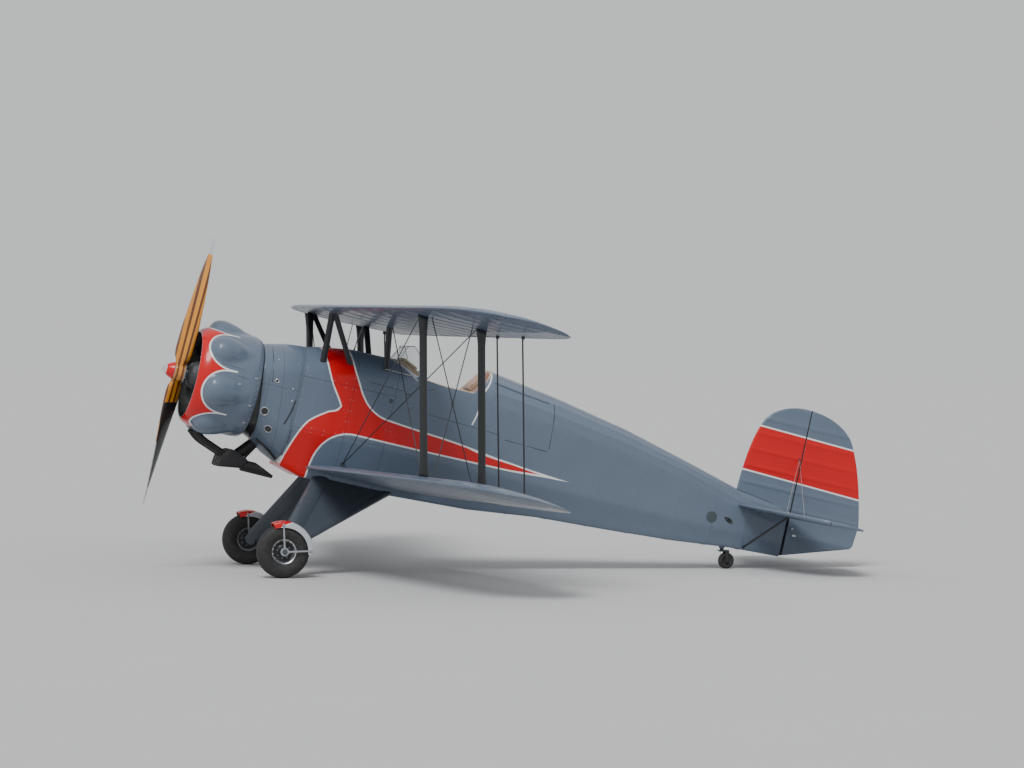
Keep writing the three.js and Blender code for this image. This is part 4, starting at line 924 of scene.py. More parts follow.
def body_solid(front=FIREWALL_X, rear=STERN_X):
    """The whole filled body, used as a tool."""
    xs = xs_between(front, rear, 60, [row[0] for row in STATIONS])
    return Shape().loft([body_ring(x) for x in xs]).made("body_tool")


def front_fuselage():
    outer = [body_ring(x) for x in xs_between(FIREWALL_X + GAP, SHELL_X, 14, [row[0] for row in STATIONS])]
    well = []
    for x in (SHELL_X, 1700, 1480):
        ring = body_ring(x, 40)
        ring[:, 2] = np.clip(ring[:, 2], -560, 190)
        well.append(ring)
    shape = Shape().loft([*outer, *well])
    obj = with_flash(shape.made("front_fuselage_skin"))
    return dressed(obj, "airframe", "panels", "front_fuselage")


def side_prism(outline, low, high, name):
    outline = np.asarray(outline, float)
    rings = [np.column_stack([outline[:, 0], np.full(len(outline), y), outline[:, 1]]) for y in (low, high)]
    return Shape().loft(rings).made(name)


def cockpit_shell():
    xs = xs_between(SHELL_X + GAP, REAR_X, 14, [row[0] for row in STATIONS])
    obj = Shape().loft([body_ring(x) for x in xs]).made("cockpit_skin")
    hollow = []
    for x, lid in [(1840, 999), (1850, 999), (2000, 999), (2478, 999), (2478.01, 330), (SEAT_BACK_X, 330)]:
        ring = body_ring(x, WALL)
        ring[:, 2] = np.minimum(ring[:, 2], lid)
        hollow.append(ring)
    cut(obj, Shape().loft(hollow).made("hollow_tool"))
    cut(obj, side_prism(OPENING, -420, 420, "opening_tool"))
    angles = np.linspace(-math.pi / 2, math.pi / 2, 40)
    x, reach, half = OPENING_FRONT.values()
    oval = np.stack([x - np.cos(angles) * reach, np.sin(angles) * half], -1)
    rows = [np.column_stack([oval, np.full(len(oval), z)]) for z in (200, 700)]
    cut(obj, Shape().loft(rows).made("opening_front_tool"))
    return dressed(with_flash(obj), "airframe", "shell", "cockpit_shell")


def rear_fuselage():
    stops = [row[0] for row in STATIONS] + [x + d for x in FRAMES for d in (-14, -11, 11, 14)]
    rows = []
    for x in xs_between(REAR_X + GAP, STERN_X, 22, stops):
        ring = body_ring(x, fabric=1.6 * sunk_between(x, FRAMES), facets=8)
        if any(abs(x - f) < 12 for f in FRAMES[1:-1]):
            ring[:, 1:] *= 1.0 + 0.8 / max(90, abs(ring[:, 1]).max())
        rows.append(ring)
    obj = Shape().loft(rows).made("rear_fuselage_skin", 14)
    dressed(with_flash(obj), "airframe", "flash", "rear_fuselage")
    fittings = Shape()
    swivel = levelled([(4930 * COS - 430 * SIN - NOSE_TO_ORIGIN) / 1000, 0, 0.172])
    fittings.bar(swivel, swivel + np.array([-SIN, 0, COS]) * 45, 24, sides=32, edge=2)
    fittings.block((5434, 0, -340), (14, 6, 9), edge=1.5)
    return fitted(fittings, "tail_swivel_housing", "grey")


# Engine bay

COWL_RADIUS = 412
COWL_PROFILE = [(234, 356), (242, 368), (256, 379), (280, 392), (320, 404), (400, COWL_RADIUS), (640, COWL_RADIUS),
                (696, 407), (735, 388)]
BLISTER = {"radius": 356, "width": 130, "height": 122}
BLISTER_TABLE = [(286, 0.02), (304, 0.42), (330, 0.76), (364, 0.94), (412, 1.0), (509, 0.86), (586, 0.62), (650, 0.44),
                 (706, 0.02)]
CYLINDERS = 7
CYLINDER_X = 480
CYLINDER_TURNS = [k / CYLINDERS * 2 * math.pi for k in range(CYLINDERS)]
CYLINDER_SPACING = 2 * math.pi / CYLINDERS
SCALLOP_X, SCALLOP_DEPTH = 530, 243


def off_cylinder(turn):
    """How far a turn is from the nearest cylinder's."""
    return (turn + CYLINDER_SPACING / 2) % CYLINDER_SPACING - CYLINDER_SPACING / 2


def cowl_radius(x, turn, fillet=20.0):
    """The cowl's outer radius: a barrel with a softly filleted blister over each cylinder."""
    x, turn = np.broadcast_arrays(np.asarray(x, float), turn)
    off = off_cylinder(turn)
    barrel = eased(COWL_PROFILE, x.ravel())[:, 0].reshape(x.shape)
    share = eased(BLISTER_TABLE, x.ravel())[:, 0].reshape(x.shape)
    wide, high = BLISTER["width"] * share, BLISTER["height"] * share
    low, top = barrel - 12, np.full(x.shape, 500.0)
    for _ in range(26):
        r = (low + top) / 2
        oval = np.hypot(r * np.sin(off) / wide, (r * np.cos(off) - BLISTER["radius"]) / high)
        a, b = r - barrel, np.where((x > 286) & (x < 706), (oval - 1) * wide, 1e3)
        h = np.maximum(fillet - np.abs(a - b), 0) / fillet
        outside = np.minimum(a, b) - h * h * fillet / 4 > 0
        top, low = np.where(outside, r, top), np.where(outside, low, r)
    return low


def from_shaft(turn):
    """The way out from the thrust line at a turn, which is zero upwards and grows to starboard."""
    return np.array([0, math.sin(turn), math.cos(turn)])


def on_cowl(x, z, proud=0.0):
    """A point of the cowl's port side at x and z, and the way that it faces."""
    turn = -math.pi / 2
    for _ in range(30):
        radius = float(cowl_radius(x, turn))
        turn = -math.acos(max(-1.0, min(1.0, (z - THRUST[2]) / radius)))
    out = from_shaft(turn)
    return THRUST + np.array([x, 0, 0]) + out * (radius + proud), out


def around_shaft(x, radius, turn):
    """Rings about the thrust line: turn is zero upwards and grows to starboard."""
    return np.stack([np.broadcast_to(x, radius.shape), radius * np.sin(turn), radius * np.cos(turn)], -1)


def scallop_edge(side):
    """Where the red ends at a distance to the side of a cylinder's line."""
    half = math.pi / CYLINDERS * COWL_RADIUS
    return SCALLOP_X - SCALLOP_DEPTH * np.clip(1 - (side / half) ** 2, 0, 1) ** (1 / 2.6)


def engine_cowl():
    turn = all_round(CYLINDERS * 38)[None]
    xs = np.concatenate([[234, 235, 237.5, 241.5, 247, 254], np.linspace(262, 728, 66), [733, 735]])[:, None]
    outer = cowl_radius(xs, turn)
    outer[-1] -= 1.5
    inner_xs = np.concatenate([np.linspace(734, 262, 30), [248, 240, 235.5]])[:, None]
    inner = cowl_radius(inner_xs, turn) - 8
    inner[-1] = 351
    rows = np.concatenate([around_shaft(xs, outer, turn), around_shaft(inner_xs, inner, turn)])
    obj = Shape().loft(rows, looped=True).made("engine_cowl_skin", 50, moved=THRUST)
    points = level_points(obj) - THRUST
    off = off_cylinder(np.arctan2(points[:, 1], points[:, 2]))
    half = CYLINDER_SPACING * COWL_RADIUS / 2
    s = half * np.sin(np.linspace(-math.pi / 2, math.pi / 2, 61))
    scallop = np.stack([scallop_edge(s), s], -1)
    here = np.stack([points[:, 0], off * COWL_RADIUS], -1)
    distance = distance_to_line(here, scallop)
    with_attribute(obj, "edge", np.where(here[:, 0] < scallop_edge(here[:, 1]), -distance, distance))
    obj.data.materials.append(finish("cowl"))
    obj.data.materials.append(finish("lining"))
    face_inside = np.empty(len(obj.data.polygons), np.int32)
    for k, face in enumerate(obj.data.polygons):
        centre = np.mean([points[v] for v in face.vertices], axis=0)
        outward = levelled(np.array(face.normal) + placed((0, 0, 0)))
        face_inside[k] = outward[1:] @ centre[1:] < 0 and centre[0] > 240
    obj.data.polygons.foreach_set("material_index", face_inside)
    dressed(obj, "airframe", None, "engine_cowl")
    bead = [np.array([236.5, 352 * math.sin(a), 352 * math.cos(a)]) + THRUST for a in np.linspace(0, 2 * math.pi, 145)]
    fitted(Shape().tube(bead, 3.2, 8), "cowl_lip_bead", "bright")
    cowl_fittings()


def cowl_fittings():
    """Seams, catches and screws on both sides of the cowl."""
    marks = Shape()
    for line in ([(396, 119), (540, 110), (679, 102)], [(544, 47), (620, 41), (703, 35)], [(572, 102), (586, 41)]):
        marks.tube(path_through([on_cowl(x, z, -0.4)[0] for x, z in line], 14), 1.5, 6)
    catches = Shape()
    for x, z in ((566, -13), (690, 60), (690, -160), (690, -300)):
        point, out = on_cowl(x, z)
        side = unit(np.cross(out, AFT))
        catches.block(point + out * 1.5, (11, 5, 2.2), [AFT, side, out], 1.2)
    on_both_sides(marks.mirrored(), "cowl_seams", "black")
    on_both_sides(catches.mirrored(), "cowl_catches", "bright")
    spots = []
    for turn in np.arange(0, 2 * math.pi, math.pi / 28):
        radius = float(cowl_radius(716.0, turn))
        out = from_shaft(turn)
        spots.append((THRUST + np.array([716, 0, 0]) + out * (radius - 0.4), out))
    studded("cowl_screws", spots, "bright", 4.2, 1.6, 10, 0.6)


BAY_X, BAY_SQUARE_X = 800, 930
BAY_STATIONS = [
    # x, half-width, top, shoulder, lower, bottom, half-width there
    (800, 330, 352, 60, -110, -425, 130),
    (930, 330, 392, 110, -190, -500, 170),
    (1065, 322, 406, 152, -255, -560, 205),
]


def bay_front(z):
    """The bay's front edge is upright above and leans aft below."""
    return 748 + np.maximum(0, 100 - np.asarray(z, float)) * 0.13


# Where the painted shade on the bay's front rim ends.
BAY_FACE_X = 761.0


def bay_ring(x, proud=0.0):
    half, top, shoulder, lower, bottom, foot = straight(BAY_STATIONS, x)[0]
    up, down = np.linspace(0, math.pi, 40), np.linspace(0, math.pi, 44)[1:-1]
    wide = foot + (half - foot) * np.abs(np.cos(down)) ** 0.8
    ring = np.concatenate([
        np.stack([-np.cos(up) * (half + proud), shoulder + np.sin(up) * (top - shoulder + proud)], -1),
        np.stack([np.cos(down) * (wide + proud), lower + np.sin(down) * (bottom - lower - proud)], -1),
    ])
    share = np.clip((x - BAY_X) / (BAY_SQUARE_X - BAY_X), 0, 1)
    front = bay_front(ring[:, 1]) * (1 - share) + BAY_SQUARE_X * share if share < 1 else np.full(len(ring), x)
    return np.column_stack([front, ring])


def bay_rings():
    """Outlines of the bay from its front to the firewall."""
    return [bay_ring(x) for x in np.linspace(BAY_X, FIREWALL_X, 14)]


def skin_at(rings, x, z):
    """Half-width of a lofted skin at x and z."""
    spots = []
    for ring in rings:
        right = ring[ring[:, 1] > 1]
        right = right[np.argsort(right[:, 2], kind="stable")]
        spots.append([np.interp(z, right[:, 2], right[:, k]) for k in (0, 1)])
    xs, ys = zip(*spots)
    return float(np.interp(x, xs, ys))


def on_side(rings, x, z, proud=0.0):
    """A point of the starboard skin and the way that the skin faces there."""
    y = skin_at(rings, x, z)
    slope_x = (skin_at(rings, x + 6, z) - skin_at(rings, x - 6, z)) / 12
    slope_z = (skin_at(rings, x, z + 6) - skin_at(rings, x, z - 6)) / 12
    out = unit((-slope_x, 1, -slope_z))
    return np.array([x, y, z]) + out * proud, out


def along_skin(rings, line, proud=0.0, steps=20):
    return [on_side(rings, x, z, proud)[0] for x, z in path_through(line, steps)]


def body_rings(front, rear, step=40):
    return [body_ring(x) for x in np.arange(front, rear + step, step)]


def on_both_sides(shape, name, look):
    """Dresses a starboard shape of the airframe and its port twin."""
    fitted(shape, name + "_right", look)
    fitted(shape.mirrored(), name + "_left", look)


def accessory_cowl():
    xs = [BAY_X, 801.5, 806, *np.linspace(815, BAY_SQUARE_X, 8), *np.linspace(945, 1055, 8), 1063, 1064.7]
    insets = [-4, -1.2, 0, *[0] * 16, 0, -1.2]
    obj = Shape().loft([bay_ring(x, inset) for x, inset in zip(xs, insets)]).made("accessory_cowl_skin", 40)
    dressed(with_flash(obj), "airframe", "bay", "accessory_cowl")
    rings = bay_rings()
    rims, hole_shades, bolts = Shape(), Shape(), Shape()
    for x, z, radius in ((828, -176, 32), (895, -307, 32), (874, 80, 15)):
        point, out = on_side(rings, x, z)
        rims.turned([(-3, radius - 5), (1.5, radius - 4.5), (3.2, radius - 1), (1.5, radius + 2.5), (-3, radius + 3)],
                    point, out, 40)
        # Each hole's mouth is a black disc just proud of the skin: painted shade for its dark inside.
        hole_shades.bar(point - out * 4, point + out * 0.5, radius - 5, sides=32)
    for x, z, radius in ((1013, 46, 9), (1027, -49, 9), (860, 250, 8), (1020, 250, 8)):
        point, out = on_side(rings, x, z)
        bolts.bar(point - out * 2, point + out * 4, radius, sides=20, edge=1.5)
    # Two narrow openings drawn as black tubes in the skin; their black is painted shade inside them.
    for line, radius in (([(810, 330), (822, 200), (837, 63)], 2.2), ([(1056, -38), (1036, -140), (1004, -241)], 5.5)):
        hole_shades.tube(along_skin(rings, line, -0.5), radius, 8)
    on_both_sides(rims, "bay_hole_rims", "bright")
    on_both_sides(hole_shades, "bay_holes", "black")
    on_both_sides(bolts, "bay_catches", "bright")


def bay_paint():
    """The engine bay's panels: two doors with dark seams and a hinge line, and painted shade on the bay's front rim
    that faces into the gap behind the cowl.
    """
    graph = Graph("panelled_engine_bay_paint")
    at = [graph.beyond((1, 0, 0.1), (930, 0, 0)), graph.beyond(AFT, (812, 0, 0)), graph.beyond(AFT, (1052, 0, 0))]
    seam = seams(graph, [*at, graph.beyond(UP, (0, 0, 40))], 0.8)
    colour = graph.mix(graph.math("MULTIPLY", seam, 0.75), flash(graph), (0.02, 0.02, 0.025))
    # Painted shade: the front rim, which faces the gap behind the cowl, is darkened nearly to black.
    front = graph.ramp(graph.beyond((1, 0, 0.13), (BAY_FACE_X, 0, 0)), 1.5, 3, 1, 0)
    normal = gloss_paint(graph, darkened(graph, colour, front, 0.97))
    return graph.set(Normal=graph.bump(seam, 0.001, -0.8, normal)).material


# Engine and exhaust

def cooling_sleeve():
    """A black sleeve between the cowl's rear edge and the bay, round the engine's rear disc. Its black is painted shade
    for the dark gap there.
    """
    rows = []
    for inset in (12, 16):
        ring = bay_ring(BAY_X, -inset)
        rear = ring - (GAP, 0, 0)
        front = ring.copy()
        front[:, 0] = 704
        radial = front[:, 1:] - THRUST[1:]
        reach = np.linalg.norm(radial, axis=1)
        front[:, 1:] = THRUST[1:] + radial * (np.minimum(reach, 360 - inset) / reach)[:, None]
        rows += [front, rear] if inset == 12 else [rear, front]
    return Shape().loft(rows, caps=False, looped=True).made("cooling_sleeve")


def engine():
    # The sleeve's black is painted shade in the gap behind the cowl.
    dressed(cooling_sleeve(), "airframe", "black")
    case = Shape()
    nose = [(208, 0), (209, 40), (216, 62), (226, 84), (240, 98), (272, 112), (300, 119), (356, 128), (362, 140),
            (372, 158), (600, 158), (606, 140), (616, 130), (740, 124), (744, 290), (746, 300),
            *[(799.7, radius) for radius in (300, 250, 200, 150, 100, 50, 0)]]
    case.turned(nose, (0, 0, 0), AFT, 72, closed=False)
    disc = case.points[0]
    rear = disc[:, 0] > 799
    disc[rear, 0] = bay_front(disc[rear, 2] + THRUST[2]) - GAP
    spots = [(THRUST + 357 * AFT + from_shaft((k + 0.5) / 28 * 2 * math.pi) * 134.5, -AFT) for k in range(28)]
    heads, rods, leads, fins = Shape(), Shape(), Shape(), []
    for turn in CYLINDER_TURNS:
        out = from_shaft(turn)
        side = np.array([0, math.cos(turn), -math.sin(turn)])
        at = lambda x, r, s=0.0: np.array([x, 0, 0]) + out * r + side * s
        heads.bar(at(CYLINDER_X, 120), at(CYLINDER_X, 352), 50, 50, 32, 3)
        heads.bar(at(CYLINDER_X, 346), at(CYLINDER_X, 392), 46, 38, 32, 6)
        heads.bar(at(CYLINDER_X, 150), at(CYLINDER_X, 166), 62, 62, 32, 3)
        heads.bar(at(464, 372), at(412, 469), 8, 1.2, 12, 0.2)
        heads.block(at(436, 378, 20), (30, 14, 17), [AFT, side, out], 5)
        heads.block(at(436, 378, -20), (30, 14, 17), [AFT, side, out], 5)
        fins += [(THRUST + at(CYLINDER_X, r), out) for r in np.linspace(176, 352, sizes().fins)]
        spots += [(THRUST + at(CYLINDER_X + 56 * math.cos(a), 166, 56 * math.sin(a)), out)
                  for a in all_round(8)]
        for s in (-15, 15):
            rods.bar(at(386, 150, s), at(408, 370, s * 1.35), 7, sides=16, edge=1)
            leads.tube(path_through([at(330, 124, 2.4 * s), at(352, 200, 3.7 * s), at(392, 290, 4 * s),
                                     at(432, 334, 3.3 * s)], 12), 3.2, 8)
    ring = [np.array([330, 0, 0]) + 126 * from_shaft(a)
            for a in np.linspace(0, 2 * math.pi, 49)]
    leads.tube(ring, 9, 12)
    dressed(case.made("crankcase", moved=THRUST), "airframe", "cast", "engine")
    dressed(heads.made("cylinders_and_heads", moved=THRUST), "airframe", "cast")
    dressed(rods.made("pushrod_tubes", moved=THRUST), "airframe", "aluminium")
    dressed(leads.made("ignition_leads", moved=THRUST), "airframe", "brass")
    studded("cylinder_fins", fins, "cast", 62, 2.4, 36, 1.0)
    studded("engine_nuts", spots, "bright", 7, 9, 6, 0.94)


EXHAUST_BOX = [(598, -589), (587, -683), (795, -655), (822, -583), (700, -532), (659, -530)]


def eased_outline(corners, radius):
    """A closed outline with its corners rounded."""
    count = len(corners)
    return np.concatenate([eased_corner(corners[k - 1], corners[k], corners[(k + 1) % count], radius, 5)
                           for k in range(count)])


def exhaust():
    """Twin pipes from the lower cylinders, a wedge-shaped silencer, and a tail pipe cut on the slant."""
    shape = Shape()
    for side in (-1, 1):
        path = path_through([(352, 120 * side, -440), (430, 125 * side, -500), (540, 120 * side, -545),
                             (660, 110 * side, -590)], 28)
        shape.tube(path, 27, 32)
    outline = eased_outline(EXHAUST_BOX, 22)
    middle = outline.mean(axis=0)
    rows = []
    for y, inset in ((-164, 12), (-161, 4), (-150, 0), (150, 0), (161, 4), (164, 12)):
        flat = outline + (middle - outline) * (inset / 100)
        rows.append(np.column_stack([flat[:, 0], np.full(len(flat), y), flat[:, 1]]))
    shape.loft(rows)
    ridge = middle + (outline - middle) * 1.012
    for y in (-90, 0, 90):
        path = np.column_stack([ridge[:, 0], np.full(len(ridge), y), ridge[:, 1]])
        shape.tube([*path, path[0]], 3.5, 8)
    shape.bar((742, 0, -570), (860, 0, -440), 46, sides=32)
    shape.bar((806, 0, -590), (884, 0, -466), 9, sides=16)
    dressed(shape.made("exhaust_pipes", 40), "airframe", "exhaust", "exhaust")
    pipe = Shape().bar((780, -110, -634), (1046, -110, -640), 46, sides=48).made("tail_pipe", 40)
    cut(pipe, Shape().bar((836, -110, -635.3), (1100, -110, -641.2), 42, sides=48).made("pipe_bore"))
    cut(pipe, side_prism([(822, -560), (1050, -664), (1080, -560)], -200, 0, "pipe_slash"), sharp=40)
    dressed(pipe, "airframe", "exhaust")
    rings = bay_rings() + body_rings(1066, 1300)
    belly = along_skin(rings, [(846, -400), (940, -452), (1040, -520)], 8)
    breather = Shape().tube(belly, 10, 16)
    fitted(breather.mirrored(), "oil_breather", "black")


# Propeller

BLADE_TABLE = [
    # radius, chord, thickness, angle from the disc in degrees
    (30, 84, 72, 50), (80, 92, 66, 50), (120, 140, 72, 52), (180, 162, 68, 51), (283, 166, 56, 47),
    (430, 176, 42, 37), (577, 176, 30, 30), (724, 160, 22, 25), (870, 124, 15, 21.5), (981, 80, 10, 19),
    (1090, 52, 7, 18), (1124, 18, 5, 18),
]
PROP_X = 142
PARKED = math.radians(13.3)
SHEATH_FROM = 985


def about_shaft(points, turn):
    points = np.array(points, float)
    y, z = points[..., 1].copy(), points[..., 2].copy()
    points[..., 1], points[..., 2] = y * math.cos(turn) - z * math.sin(turn), y * math.sin(turn) + z * math.cos(turn)
    return points


def blade_rows():
    """A blade's sections, and for each point how far it is on the front face and inside the metal edging."""
    radii = np.concatenate([np.linspace(30, 1056, 48), 1056 + 68 * (1 - (1 - np.linspace(0.08, 1, 12)) ** 2)])
    rows, front, sheath = [], [], []
    for radius, (chord, thick, degrees) in zip(radii, eased(BLADE_TABLE, radii)):
        turn = all_round(48)
        along = np.cos(turn) * chord / 2
        out = np.sin(turn) * thick * np.where(np.sin(turn) > 0, 0.62, 0.38)
        angle = math.radians(degrees)
        x = -along * math.sin(angle) - out * math.cos(angle)
        y = along * math.cos(angle) - out * math.sin(angle)
        rows.append(np.stack([PROP_X + x, y, np.full(len(turn), radius)], -1))
        front.append(out if radius > 250 else np.full(len(turn), 5.0))
        width = np.interp(radius, [560, 600, 1000], [-8, 9, 15])
        sheath.append(np.maximum(width - (chord / 2 - along), radius - SHEATH_FROM))
    return np.array(rows), np.concatenate(front), np.concatenate(sheath)


def propeller():
    rows, front, sheath = blade_rows()
    boss = [(104, 0), (104, 66), (108, 72), (112, 74), (174, 74), (176, 72), (176, 0)]
    shape = Shape()
    for turn in (PARKED, PARKED + math.pi):
        shape.loft(about_shaft(rows, turn))
    count = shape.count
    shape.turned(boss, (0, 0, 0), AFT, 64, closed=False)
    obj = as_object("propeller_blades", placed(np.concatenate(shape.points) + THRUST), shape.faces)
    rest = shape.count - count
    with_attribute(obj, "front", np.concatenate([front, front, np.full(rest, 5.0)]))
    with_attribute(obj, "sheath", np.concatenate([sheath, sheath, np.full(rest, -50.0)]))
    face_outwards(obj)
    dressed(smoothed(obj, 40), "propeller", "wood", "propeller")
    hub = Shape()
    hub.turned([(96.3, 0), (96.3, 60), (98, 62), (103.6, 62), (103.6, 0)], (0, 0, 0), AFT, 64, closed=False)
    hub.turned([(176.4, 0), (176.4, 80), (178, 82), (184, 82), (186, 60), (187, 52), (207.5, 46), (207.5, 0)],
               (0, 0, 0), AFT, 64, closed=False)
    dressed(hub.made("propeller_hub_plates", moved=THRUST), "propeller", "bright")
    nuts = [(THRUST + 184 * AFT + from_shaft(turn + 0.2) * 66, AFT) for turn in all_round(8)]
    studded("propeller_hub_bolts", nuts, "bright", 7.5, 9, 6, 0.94, "propeller")
    profile = eased([(0, 0), (5, 12), (16, 24), (40, 42), (72, 60), (90, 67.6), (96, 69)], np.linspace(0, 96, 40))[:, 0]
    cone = [(x, r) for x, r in zip(np.linspace(0, 96, 40), profile)] + [(96, 0)]
    spinner = Shape().turned(cone, (0, 0, 0), AFT, 72, closed=False).made("spinner_cone", 40, moved=THRUST)
    dressed(spinner, "propeller", "red", "spinner")


# Wings

CHORD, WING_DEPTH, HALF_SPAN, CENTRE_HALF = 950.0, 98.0, 3300.0, 550.0
SWEEP, DIHEDRAL, INCIDENCE = math.tan(math.radians(11)), math.tan(math.radians(2.4)), math.radians(1)
UPPER = {"x": 926 + CENTRE_HALF * SWEEP, "z": 700 + CENTRE_HALF * DIHEDRAL, "straight": CENTRE_HALF}
LOWER = {"x": 1220.0, "z": -548.0, "straight": 0.0}
TIP_TABLE = [
    # y, shares of the chord cut away ahead and behind, share of the depth
    (0, 0.0, 0.0, 1.0), (2600, 0.0, 0.0, 1.0), (2800, 0.012, 0.01, 0.94), (2960, 0.045, 0.05, 0.82),
    (3080, 0.1, 0.12, 0.68), (3180, 0.18, 0.225, 0.5), (3250, 0.275, 0.335, 0.34), (3290, 0.38, 0.44, 0.18),
    (3300, 0.46, 0.5, 0.08),
]
AILERON = {"inner": 1760.0, "outer": 3010.0, "chord": 215.0, "nose": 24.0}
ROD_YS, ROD_AFT = (1885.0, 2310.0), 130.0
RIB_PITCH = 242.0


def lead_at(wing, y):
    return wing["x"] + max(abs(y) - wing["straight"], 0) * SWEEP


def height_at(wing, y):
    return wing["z"] + max(abs(y) - wing["straight"], 0) * DIHEDRAL


def wing_ring(wing, y, sag=0.0, tape=0.0):
    """The wing section at y. The cloth sinks by a share of its depth between ribs, and a tape stands proud."""
    lead_cut, trail_cut, share = eased(TIP_TABLE, abs(y))[0]
    lead = lead_at(wing, y) + lead_cut * CHORD
    chord = lead_at(wing, y) + (1 - trail_cut) * CHORD - lead
    thin = max(share * WING_DEPTH, 6)
    s = (1 - np.cos(np.linspace(0, math.pi, 30)[1:-1])) / 2
    sunk = 1 - sag * np.clip((s - 0.1) / 0.12, 0, 1)
    nose, rear = np.sqrt(s) * (1 - s), s * (1 - s) ** 0.9
    top = (1.05 * nose + 1.1 * rear) * thin * sunk + tape
    bottom = (-0.75 * nose + 0.28 * rear) * thin * sunk - tape
    edge = 2.5
    shares = np.concatenate([[0], s, [1, 1], s[::-1]])
    heights = np.concatenate([[0], top, [edge, -edge], bottom[::-1]])
    x = lead + shares * chord * math.cos(INCIDENCE)
    z = height_at(wing, y) - shares * chord * math.sin(INCIDENCE) + heights
    return np.stack([x, np.full(len(x), y), z], -1)


def wing_rows(wing, root, tip=HALF_SPAN):
    """Sections from the root to the tip, with a taped rib every rib pitch and sunk cloth between them."""
    ribs = list(np.arange(root + 40, min(tip, 3130), RIB_PITCH))
    ends = 3300 - np.array([170, 140, 110, 84, 60, 40, 24, 12, 5, 1.5, 0]) if tip > 3200 else [tip]
    rows = [wing_ring(wing, root)]
    for rib, after in zip(ribs, [*ribs[1:], None]):
        rows += [wing_ring(wing, rib + d, tape=t) for d, t in ((-15, 0), (-13, 0.9), (13, 0.9), (15, 0))]
        if after:
            for share in (0.2, 0.35, 0.5, 0.65, 0.8):
                rows.append(wing_ring(wing, rib + share * (after - rib), sag=0.035 * math.sin(math.pi * share)))
    rows += [wing_ring(wing, y) for y in ends if y > ribs[-1] + 20]
    return rows


def aileron_frame(wing):
    """Where the aileron's axis starts, its directions aft, up and along, and its length."""
    aft = CHORD - AILERON["chord"]
    inner, outer = (np.array([lead_at(wing, y) + aft * math.cos(INCIDENCE), y,
                              height_at(wing, y) - aft * math.sin(INCIDENCE) + 12])
                    for y in (AILERON["inner"], AILERON["outer"]))
    length = np.linalg.norm(outer - inner)
    along = unit(outer - inner)
    up = unit(UP - along * along[2])
    return inner, np.cross(along, up), up, along, length


def in_frame(space, aft, up, along):
    inner, a, u, l, _ = space
    return inner + aft * a + up * u + along * l


def aileron_space(wing, nose, end_gap, first=math.radians(90)):
    """The aileron's room round its axis. A larger first angle leaves its upper side room to swing forward."""
    space = aileron_frame(wing)
    angles = np.linspace(first, math.pi * 1.5, 20)
    arc = [(nose * math.cos(a), nose * math.sin(a)) for a in angles]
    outline = [(420, -160), (420, 160), (arc[0][0], 160), *arc, (0, -160)]
    rows = [[in_frame(space, a, u, along) for a, u in outline] for along in (-end_gap, space[4] + end_gap)]
    return Shape().loft(rows).made("aileron_tool")


def mirrored_copy(obj, name):
    """The finished shape on the port side."""
    twin = bpy.data.objects.new(name, obj.data.copy())
    bpy.context.scene.collection.objects.link(twin)
    twin.data.transform(Matrix.Scale(-1, 4, (0, 1, 0)))
    twin.data.flip_normals()
    twin.data.update()
    return twin


def both_sides(starboard, name, body, look, node):
    """Dresses a starboard piece and its port twin. {} in a name is the side."""
    port = mirrored_copy(starboard, name.format("left"))
    starboard.name = name.format("right")
    for obj, side in ((starboard, "right"), (port, "left")):
        dressed(obj, body.format(side), look, node.format(side) if node else ())


def wings():
    centre = Shape().loft(wing_rows(UPPER, -CENTRE_HALF, CENTRE_HALF)).made("upper_centre_section_skin", 30)
    dressed(centre, "airframe", "grey", "upper_wing_centre")
    for place, wing, root in (("upper", UPPER, CENTRE_HALF + GAP), ("lower", LOWER, 180.0)):
        rows = wing_rows(wing, root)
        panel = Shape().loft(rows).made(f"{place}_wing_skin", 30)
        aileron = Shape().loft(rows).made(f"{place}_aileron", 30)
        cut(panel, aileron_space(wing, AILERON["nose"] + 6, 6, math.radians(130)), sharp=30)
        cut(aileron, aileron_space(wing, AILERON["nose"], 0), "INTERSECT", 30)
        if place == "lower":
            cut(panel, body_solid(1066, 2700), sharp=30)
        both_sides(panel, place + "_wing_skin_{}", "airframe", "grey", place + "_wing_{}")
        both_sides(aileron, place + "_aileron_skin_{}", f"aileron_{place}_" + "{}", "silver",
                   f"aileron_{place}_" + "{}")
        brackets, horns = Shape(), Shape()
        space = aileron_frame(wing)
        axes = space[1:4]
        for share in (0.06, 0.5, 0.94):
            brackets.block(in_frame(space, -38, 0, share * space[4]), (14, 8, 7), axes, 1.5)
        for y in ROD_YS:
            along = (y - space[0][1]) / space[3][1] + 2
            low, high = (-44, 0) if place == "upper" else (0, 30)
            horns.block(in_frame(space, ROD_AFT, (low + high) / 2, along), (14, (high - low) / 2, 2), axes, 1.0)
        both_sides(brackets.made("brackets"), place + "_aileron_brackets_{}", "airframe",
                   "black", "")
        both_sides(horns.made("horns"), place + "_aileron_horns_{}", f"aileron_{place}_" + "{}",
                   "black", "")


# Struts and stays

def struts():
    """Struts and rods with their edges eased, and the stays as they are."""
    for side in ("left", "right"):
        for kind in ("interplane_front", "interplane_rear", "cabane_front", "cabane_rear", "tailplane_strut",
                     "bay_wires", "incidence_wires", "aileron_rod_1", "aileron_rod_2"):
            node, wire = f"{kind}_{side}", "wires" in kind
            obj = node_copy(node, node + "_finished", 0.0 if wire else 0.8, 1, 60)
            slot, look = ("stay_steel", "stay") if wire else ("black_paint", "black")
            dressed(obj, f"rods_{side}" if "rod" in kind else "airframe", look, node)

# Tail

